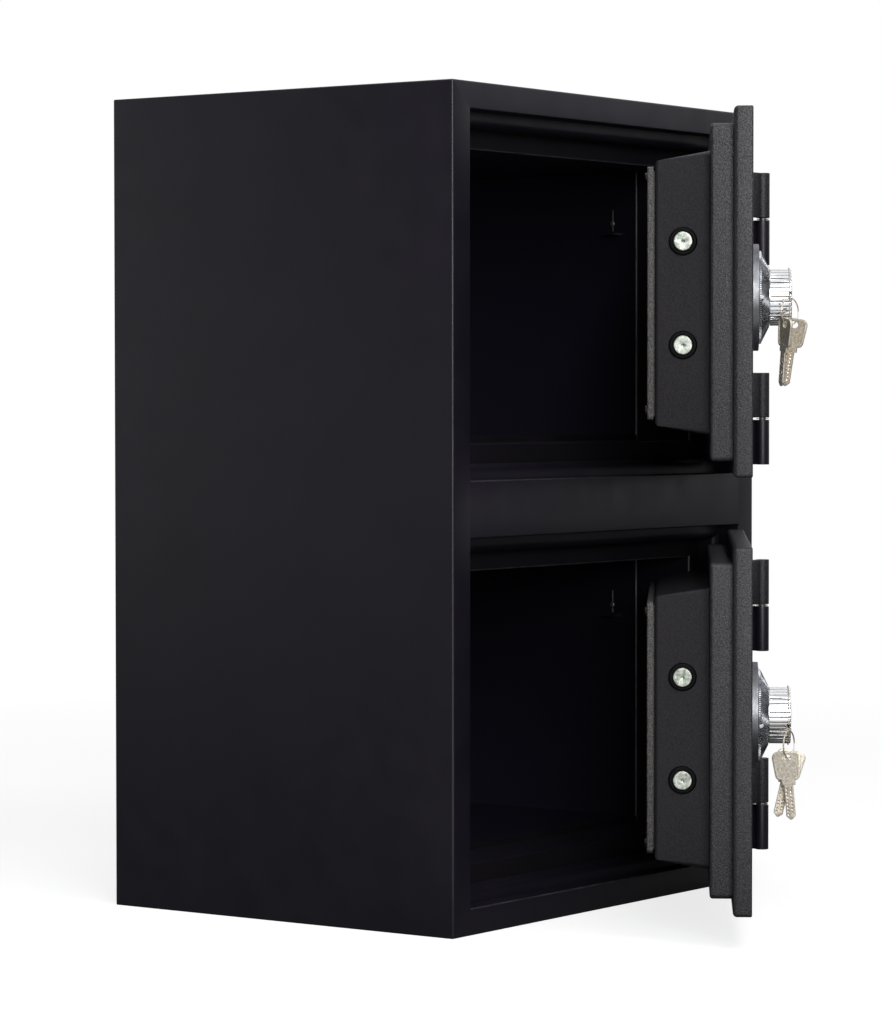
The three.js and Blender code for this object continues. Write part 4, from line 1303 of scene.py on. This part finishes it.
def dial_marks(prefix):
    """The marks of the fixed ring, the dial and the knob."""
    place = dial_axis(prefix)
    top = span(prefix + "dial_ring", place)[1].y - RING_DROP
    ring_graduations(prefix, place, top)
    ring_numbers(prefix, place, top)
    turn = Matrix.Rotation(math.radians(INDEX_ANGLE[prefix]), 4, "Y")
    dial_index(prefix, place, turn)
    knob_line(prefix, place, turn)


# Hinges
def hinge(prefix, word):
    """Offset door leaf and upright frame leaf, each with its knuckle, on a pin with a washer between them."""
    name = f"{prefix}hinge_{word}_"
    door, cabinet = door_place(prefix), cabinet_place(prefix)
    pin_low, pin_high = span(name + "pin", cabinet)
    axis_x, axis_y = pin_high.x - PIN_DISC_RADIUS, pin_high.y - PIN_DISC_RADIUS
    turn = Matrix.Translation((axis_x, axis_y, 0)) @ ALONG_Z
    half = LEAF_THICKNESS / 2

    low, high = span(name + "door_leaf", door)
    near = span(prefix + "door_plate", door)[1].x - LEAF_SETBACK
    far = near - DOOR_LEAF_WIDTH
    leaf = bmesh.new()
    prism(leaf, [
        (far, high.y),
        (near, high.y),
        (axis_x, axis_y + half),
        (axis_x, axis_y - half),
        (near - LEAF_THICKNESS, high.y - LEAF_THICKNESS),
        (far, high.y - LEAF_THICKNESS),
    ], low.z, high.z)
    round_edges(leaf, LEAF_ROUND, angle=LEAF_BEND_ANGLE)
    turned(leaf, rounded_rod(KNUCKLE_RADIUS, low.z, high.z, KNUCKLE_ROUND), turn)
    node_piece(name + "door_leaf", leaf, door, texture, prefix + "door")

    low, high = span(name + "frame_leaf", cabinet)
    foot = bmesh.new()
    for width, start, end in ((FRAME_LEAF_WIDTH, high.y - LEAF_THICKNESS, high.y),
                              (FRAME_WEB, axis_y, high.y - half)):
        prism(foot, four_corners((axis_x - width / 2, axis_x + width / 2), (start, end)), low.z, high.z)
    round_edges(foot, LEAF_ROUND)
    turned(foot, rounded_rod(KNUCKLE_RADIUS, low.z, high.z, KNUCKLE_ROUND), turn)
    node_piece(name + "frame_leaf", foot, cabinet, coat, "cabinet")

    middle = (pin_low.z + pin_high.z) / 2
    below, above = middle - PIN_DISC / 2, middle + PIN_DISC / 2
    rim = PIN_DISC_RADIUS - PIN_DISC_ROUND
    pin = bmesh.new()
    turned(pin, [(0, pin_low.z), (PIN_RADIUS, pin_low.z), (PIN_RADIUS, below),
                 *arc(rim, below + PIN_DISC_ROUND, PIN_DISC_ROUND, -90, 0),
                 *arc(rim, above - PIN_DISC_ROUND, PIN_DISC_ROUND, 0, 90),
                 (PIN_RADIUS, above), (PIN_RADIUS, pin_high.z), (0, pin_high.z)], turn)
    node_piece(name + "pin", pin, cabinet, zinc, "cabinet")


# Keys
def bow_outline(inset=0.0):
    """The key's bow, which narrows towards the neck."""
    points = []
    for side, half, height, corner, start in (
            (1, BOW_HALF, BOW_TOP, BOW_CORNER, 0),
            (-1, BOW_HALF, BOW_TOP, BOW_CORNER, 90),
            (-1, BOW_LOWER_HALF, BOW_BOTTOM, BOW_LOWER_CORNER, 180),
            (1, BOW_LOWER_HALF, BOW_BOTTOM, BOW_LOWER_CORNER, 270)):
        lift = -1 if height > 0 else 1
        points += arc(side * (half - corner), height + lift * corner, corner - inset, start, start + 90,
                      CORNER_STEPS)
    return points


def key_outline():
    """Bow, neck and blade in one outline."""
    bow = bow_outline()
    corner = 3 * (CORNER_STEPS + 1)
    right = [(TIP_HALF, BLADE_TIP), (BLADE_HALF, BLADE_TIP + TIP_TAPER), (BLADE_HALF, NECK_BOTTOM),
             (NECK_HALF, NECK_BOTTOM)]
    left = [(-x, z) for x, z in reversed(right)]
    return bow[:corner] + left + right + bow[corner:]


def key_blank():
    """One key in its own millimetres: a bow with a raised border and a slotted hole, and a dimpled blade."""
    middle, half_width, half_height = BOW_HOLE
    hole = [(half_width * x, middle + half_height * z) for x, z in circle(1, BOW_HOLE_POINTS)]
    half = KEY_THICKNESS / 2
    bm = bmesh.new()
    prism(bm, key_outline(), -half, half, SIDEWAYS, [hole])
    round_edges(bm, KEY_ROUND, 2)
    blank = mesh_object("key_blank", bm, IDENTITY)
    panels = bmesh.new()
    for side in (-1, 1):
        prism(panels, bow_outline(BOW_BORDER),
              *sorted((side * (half - BOW_RECESS), side * (half + CUT_PAST))), SIDEWAYS)
    cut_out(blank, panels)
    dimples = bmesh.new()
    count = int((NECK_BOTTOM - BLADE_TIP - TIP_TAPER) / DIMPLE_PITCH)
    for side in (-1, 1):
        for row, x in enumerate(DIMPLE_ROWS):
            for step in range(count):
                height = NECK_BOTTOM - DIMPLE_START - DIMPLE_PITCH * (step + 0.5 * (row == (side > 0)))
                sink = side * (half + DIMPLE_RADIUS - DIMPLE_DEPTH - DIMPLE_STEP * (step % 3))
                add_ball(dimples, DIMPLE_RADIUS, (x, sink, height), DIMPLE_SEGMENTS)
    cut_out(blank, dimples)
    return blank


def add_ball(bm, radius, middle, segments):
    bmesh.ops.create_uvsphere(bm, u_segments=segments[0], v_segments=segments[1], radius=radius,
                              matrix=Matrix.Translation(middle))


def keys(prefix, blank):
    for word in ("near", "far"):
        node = f"{prefix}key_{word}"
        tilt = Matrix.Rotation(math.radians(-KEY_TILT[prefix][word]), 4, "Y")
        bm = bmesh.new()
        bm.from_mesh(blank.data)
        node_piece(node, bm, hanging_place(node + "_swing") @ tilt, nickel, node)


def key_ring(prefix):
    """Split ring: one wire wound almost twice."""
    low, high = span(prefix + "key_ring", door_place(prefix))
    centre = door_place(prefix) @ ((low + high) / 2)
    place = Matrix.Translation(centre) @ hanging_place(prefix + "key_ring_swing").to_3x3().to_4x4()
    steps = int(KEY_RING_TURNS * KEY_RING_STEPS)
    points = []
    for step in range(steps + 1):
        turns = KEY_RING_TURNS * step / steps
        angle = 2 * math.pi * turns
        share = min(max((turns - KEY_RING_TURNS / 2) / KEY_RING_CROSSING + 0.5, 0), 1)
        points.append((KEY_RING_RADIUS * math.cos(angle), KEY_RING_PITCH * share - KEY_RING_PITCH / 2,
                       KEY_RING_RADIUS * math.sin(angle)))
    bm = bmesh.new()
    tube(bm, points, KEY_RING_WIRE)
    node_piece(prefix + "key_ring", bm, place, nickel, prefix + "key_ring")


def key_tie(prefix):
    """Two strands of soft wire twisted round the knob, with an eye for the ring and a dark bead that locks
    them."""
    place = dial_axis(prefix)
    distance = span(prefix + "dial", place)[1].y - TIE_FROM_END
    bm = bmesh.new()
    steps = TIE_TWISTS * TIE_STEPS
    for strand in (0, 1):
        points = []
        for step in range(steps):
            turn = 2 * math.pi * step / steps
            twist = TIE_TWISTS * turn + math.pi * strand
            radius = TIE_RADIUS + TIE_TWIST * math.cos(twist)
            points.append((radius * math.cos(turn), distance + TIE_TWIST * math.sin(twist),
                           radius * math.sin(turn)))
        tube(bm, points, TIE_STRAND, endless=True)
    hang = Vector(joints[prefix + "key_ring_swing"]["pos_m"]) + Vector((0, 0, EYE_RADIUS * MM))
    eye = place.inverted() @ hang
    yaw = math.radians(EYE_YAW[prefix])
    aside = Vector((math.sin(yaw), math.cos(yaw), 0))
    tube(bm, [eye + EYE_RADIUS * (x * aside + z * Vector((0, 0, 1))) for x, z in circle(1, EYE_STEPS)],
         EYE_WIRE, endless=True)
    node_piece(prefix + "key_tie", bm, place, nickel, prefix + "dial")
    height = eye.z + EYE_RADIUS
    bead = bmesh.new()
    add_ball(bead, BEAD_RADIUS, (-math.sqrt(BEAD_DISTANCE ** 2 - height ** 2), distance, height),
             BEAD_SEGMENTS)
    dress(mesh_object(prefix + "tie_bead", bead, place), nylon, prefix + "dial")


def finish_construction():
    """What stays as the construction has it gets a real finish."""
    looks = {"bolt_carrier": steel, "fence_lever": brass, "lock_case": steel, "wheel_pack": brass,
             "spindle": steel, "door_fill": fill}
    shown = {"insulation_fill": fill}
    for prefix in PREFIXES:
        shown.update({prefix + name: look for name, look in looks.items()})
    for node, look in shown.items():
        mesh = frame["nodes"][node].data
        mesh.materials.clear()
        mesh.materials.append(look)


outer_shell()
back_panel()
key_shape = key_blank()
for level in PREFIXES:
    keys(level, key_shape)
    for piece in (door_frame, liner, door_plate, door_step, lock_box, lock_box_cover, bolt_guide):
        piece(level)
    for end_word in ("top", "bottom"):
        bolt(level, end_word)
    for piece in (dial_ring, dial, key_plug, dial_marks, knob, key_tie, key_ring):
        piece(level)
    for end_word in ("top", "bottom"):
        hinge(level, end_word)
bpy.data.objects.remove(key_shape)
finish_construction()


# Studio
IMAGE = (881, 1024)
FOCAL_PIXELS = 3719.0
CAMERA_PLACE = (-2.621, -1.8755, 0.4273)
CAMERA_HEADING = (0.8129, 0.5823)
CAMERA_PITCH = 1.727
CAMERA_ROLL = -0.041
SENSOR = 36.0
CLIP = (0.05, 60.0)
LIGHT_AIM = 0.34
BACKDROP_EDGE = (0.35, 0.85)
ROOM_LEVEL = 0.12
CARD_AXIS = (0.53, -0.848, 0)
CARD_HEADING = (-0.848, -0.53, 0)
CARD_EDGE = (0.1, 0.2)
CARD_FOOT = (-0.15, -0.05)
CARD_LEVEL = 1.0
CEILING_EDGE = (0.6, 0.85)
CEILING_LEVEL = 0.8
FLOOR_CARD = 0.9
FLOOR_CARD_MIDDLE = 0.28
FLOOR_CARD_EDGE = (0.3, 0.6)
FLOOR_CARD_START = (0.35, 0.6)
ROOM_TINT = "#e9e6f6"
FLOOR_HALF = 30.0
FLOOR_FADE = (0.5, 2.2)
FLOOR_GLOW = 0.8
FLOOR_GLOSS = 0.05
FLOOR_MIRRORED = "#3c3c3c"


def studio_camera():
    pitch = math.radians(CAMERA_PITCH)
    ahead = Vector((CAMERA_HEADING[0] * math.cos(pitch), CAMERA_HEADING[1] * math.cos(pitch),
                    -math.sin(pitch)))
    data = bpy.data.cameras.new("studio_camera")
    data.sensor_width = SENSOR
    data.lens = FOCAL_PIXELS / max(IMAGE) * SENSOR
    data.clip_start, data.clip_end = CLIP
    turn = ahead.to_track_quat("-Z", "Y").to_matrix().to_4x4()
    turn = turn @ Matrix.Rotation(math.radians(CAMERA_ROLL), 4, "Z")
    bpy.context.scene.camera = add_object("studio_camera", data, Matrix.Translation(CAMERA_PLACE) @ turn)


def soft_box(name, heading, elevation, distance, size, strength):
    """A soft light that looks at the middle of the safe. Its heading is in degrees from +X towards +Y."""
    data = bpy.data.lights.new(name, "AREA")
    data.shape = "RECTANGLE"
    data.size, data.size_y = size
    data.energy = strength
    away = Matrix.Rotation(math.radians(heading), 3, "Z") @ Vector(
        (math.cos(math.radians(elevation)), 0, math.sin(math.radians(elevation))))
    add_object(name, data, Matrix.Translation(Vector((0, 0, LIGHT_AIM)) + away * distance)
               @ away.to_track_quat("Z", "Y").to_matrix().to_4x4())


def along(tree, where, direction):
    """How far a vector reaches in a direction."""
    return add_node(tree, "ShaderNodeVectorMath", {
        "operation": "DOT_PRODUCT", 0: where, 1: direction}, "Value")


def card_strip(tree, where, middle, edge):
    """1 in a strip that a dial's side mirrors."""
    aside = add_node(tree, "ShaderNodeMath", {
        "operation": "SUBTRACT", 0: along(tree, where, CARD_AXIS), 1: middle})
    return spread(tree, add_node(tree, "ShaderNodeMath", {"operation": "ABSOLUTE", 0: aside}), 1, 0, edge)


def mirrored(tree, path, level):
    """A level that only rays from shiny or clear surfaces see."""
    seen = add_node(tree, "ShaderNodeMath",
                    {"operation": "MAXIMUM", 0: path["Is Glossy Ray"], 1: path["Is Transmission Ray"]})
    return add_node(tree, "ShaderNodeMath", {"operation": "MULTIPLY", 0: seen, 1: level})


def studio_world():
    """White seen directly. Shiny surfaces see the white background behind the safe, a pale ceiling, and a dim
    room with an upright white card by the camera."""
    world = bpy.data.worlds.new("studio")
    bpy.context.scene.world = world
    world.use_nodes = True
    tree = world.node_tree
    path = add_node(tree, "ShaderNodeLightPath").node.outputs
    where = add_node(tree, "ShaderNodeTexCoord", output="Generated")
    height = along(tree, where, (0, 0, 1))
    behind = spread(tree, along(tree, where, (*CAMERA_HEADING, 0)), 0, 1, BACKDROP_EDGE)
    card = add_node(tree, "ShaderNodeMath", {
        "operation": "MULTIPLY", 0: card_strip(tree, where, 0.0, CARD_EDGE),
        1: spread(tree, height, 0, CARD_LEVEL, CARD_FOOT)})
    ceiling = spread(tree, height, 0, CEILING_LEVEL, CEILING_EDGE)
    brightest = behind
    for level in (card, ceiling):
        brightest = add_node(tree, "ShaderNodeMath", {"operation": "MAXIMUM", 0: brightest, 1: level})
    seen = add_node(tree, "ShaderNodeMath", {
        "operation": "MAXIMUM", 0: path["Is Camera Ray"], 1: mirrored(tree, path, brightest)})
    set_up(tree, tree.nodes["Background"], {
        "Strength": add_node(tree, "ShaderNodeMath", {
            "operation": "MULTIPLY_ADD", 0: seen, 1: 1 - ROOM_LEVEL, 2: ROOM_LEVEL}),
        "Color": blend_colours(tree, seen, ROOM_TINT, "#ffffff", (0, 1))})


def studio_floor():
    """Pale floor that keeps a soft shadow near the safe and melts into the white background further out."""
    bm = bmesh.new()
    cap(bm, add_loop(bm, four_corners((-FLOOR_HALF, FLOOR_HALF), (-FLOOR_HALF, FLOOR_HALF)), 0))
    floor = mesh_object("studio_floor", bm, ALONG_Z)
    made, tree = material("pale_floor", "#b0b0b0", 0.9, Specular_IOR_Level=0.0)
    path = add_node(tree, "ShaderNodeLightPath").node.outputs
    where = tree.nodes["where"].outputs["Object"]
    away = add_node(tree, "ShaderNodeVectorMath", {"operation": "LENGTH", 0: where}, "Value")
    far = spread(tree, away, 0, 1, FLOOR_FADE)
    near_colour = add_node(tree, "ShaderNodeMix", {
        "data_type": "RGBA", 0: far, 6: blend_colours(tree, noise(tree, 300, 2), "#a6a6a6", "#acacac"),
        7: (0, 0, 0, 1)}, 2)
    colour = add_node(tree, "ShaderNodeMix", {
        "data_type": "RGBA", 0: path["Is Camera Ray"], 6: linear(FLOOR_MIRRORED), 7: near_colour}, 2)
    direct = add_node(tree, "ShaderNodeMath", {
        "operation": "MULTIPLY", 0: path["Is Camera Ray"], 1: spread(tree, far, FLOOR_GLOW, 1.0, (0, 1))})
    strip = add_node(tree, "ShaderNodeMath", {
        "operation": "MULTIPLY", 0: spread(tree, along(tree, where, CARD_HEADING), 0, 1, FLOOR_CARD_START),
        1: card_strip(tree, where, FLOOR_CARD_MIDDLE, FLOOR_CARD_EDGE)})
    lit = add_node(tree, "ShaderNodeMath", {
        "operation": "MULTIPLY_ADD", 0: strip, 1: FLOOR_CARD, 2: FLOOR_GLOSS})
    set_up(tree, tree.nodes[SHADER], {
        "Base Color": colour,
        "Emission Color": linear("#ffffff"),
        "Emission Strength": add_node(tree, "ShaderNodeMath", {
            "operation": "ADD", 0: direct, 1: mirrored(tree, path, lit)})})
    floor.data.materials.append(made)


studio_camera()
studio_world()
studio_floor()
soft_box("camera_side_light", 225, 20, 3.0, (0.9, 2.0), 42)
soft_box("low_front_light", 225, 5, 3.0, (0.9, 1.0), 7)
soft_box("high_front_light", 250, 50, 3.0, (1.2, 0.8), 25)
soft_box("right_light", 324, 10, 2.6, (1.2, 1.4), 1.8)
soft_box("high_right_light", 324, 30, 2.6, (1.2, 0.5), 0.9)
soft_box("left_light", 130, 8, 2.6, (0.8, 1.8), 4.2)
soft_box("low_left_light", 155, -2, 2.6, (0.9, 0.7), 0.9)
soft_box("top_light", 135, 82, 2.2, (1.2, 1.2), 10)
bpy.context.scene.view_settings.view_transform = "Standard"
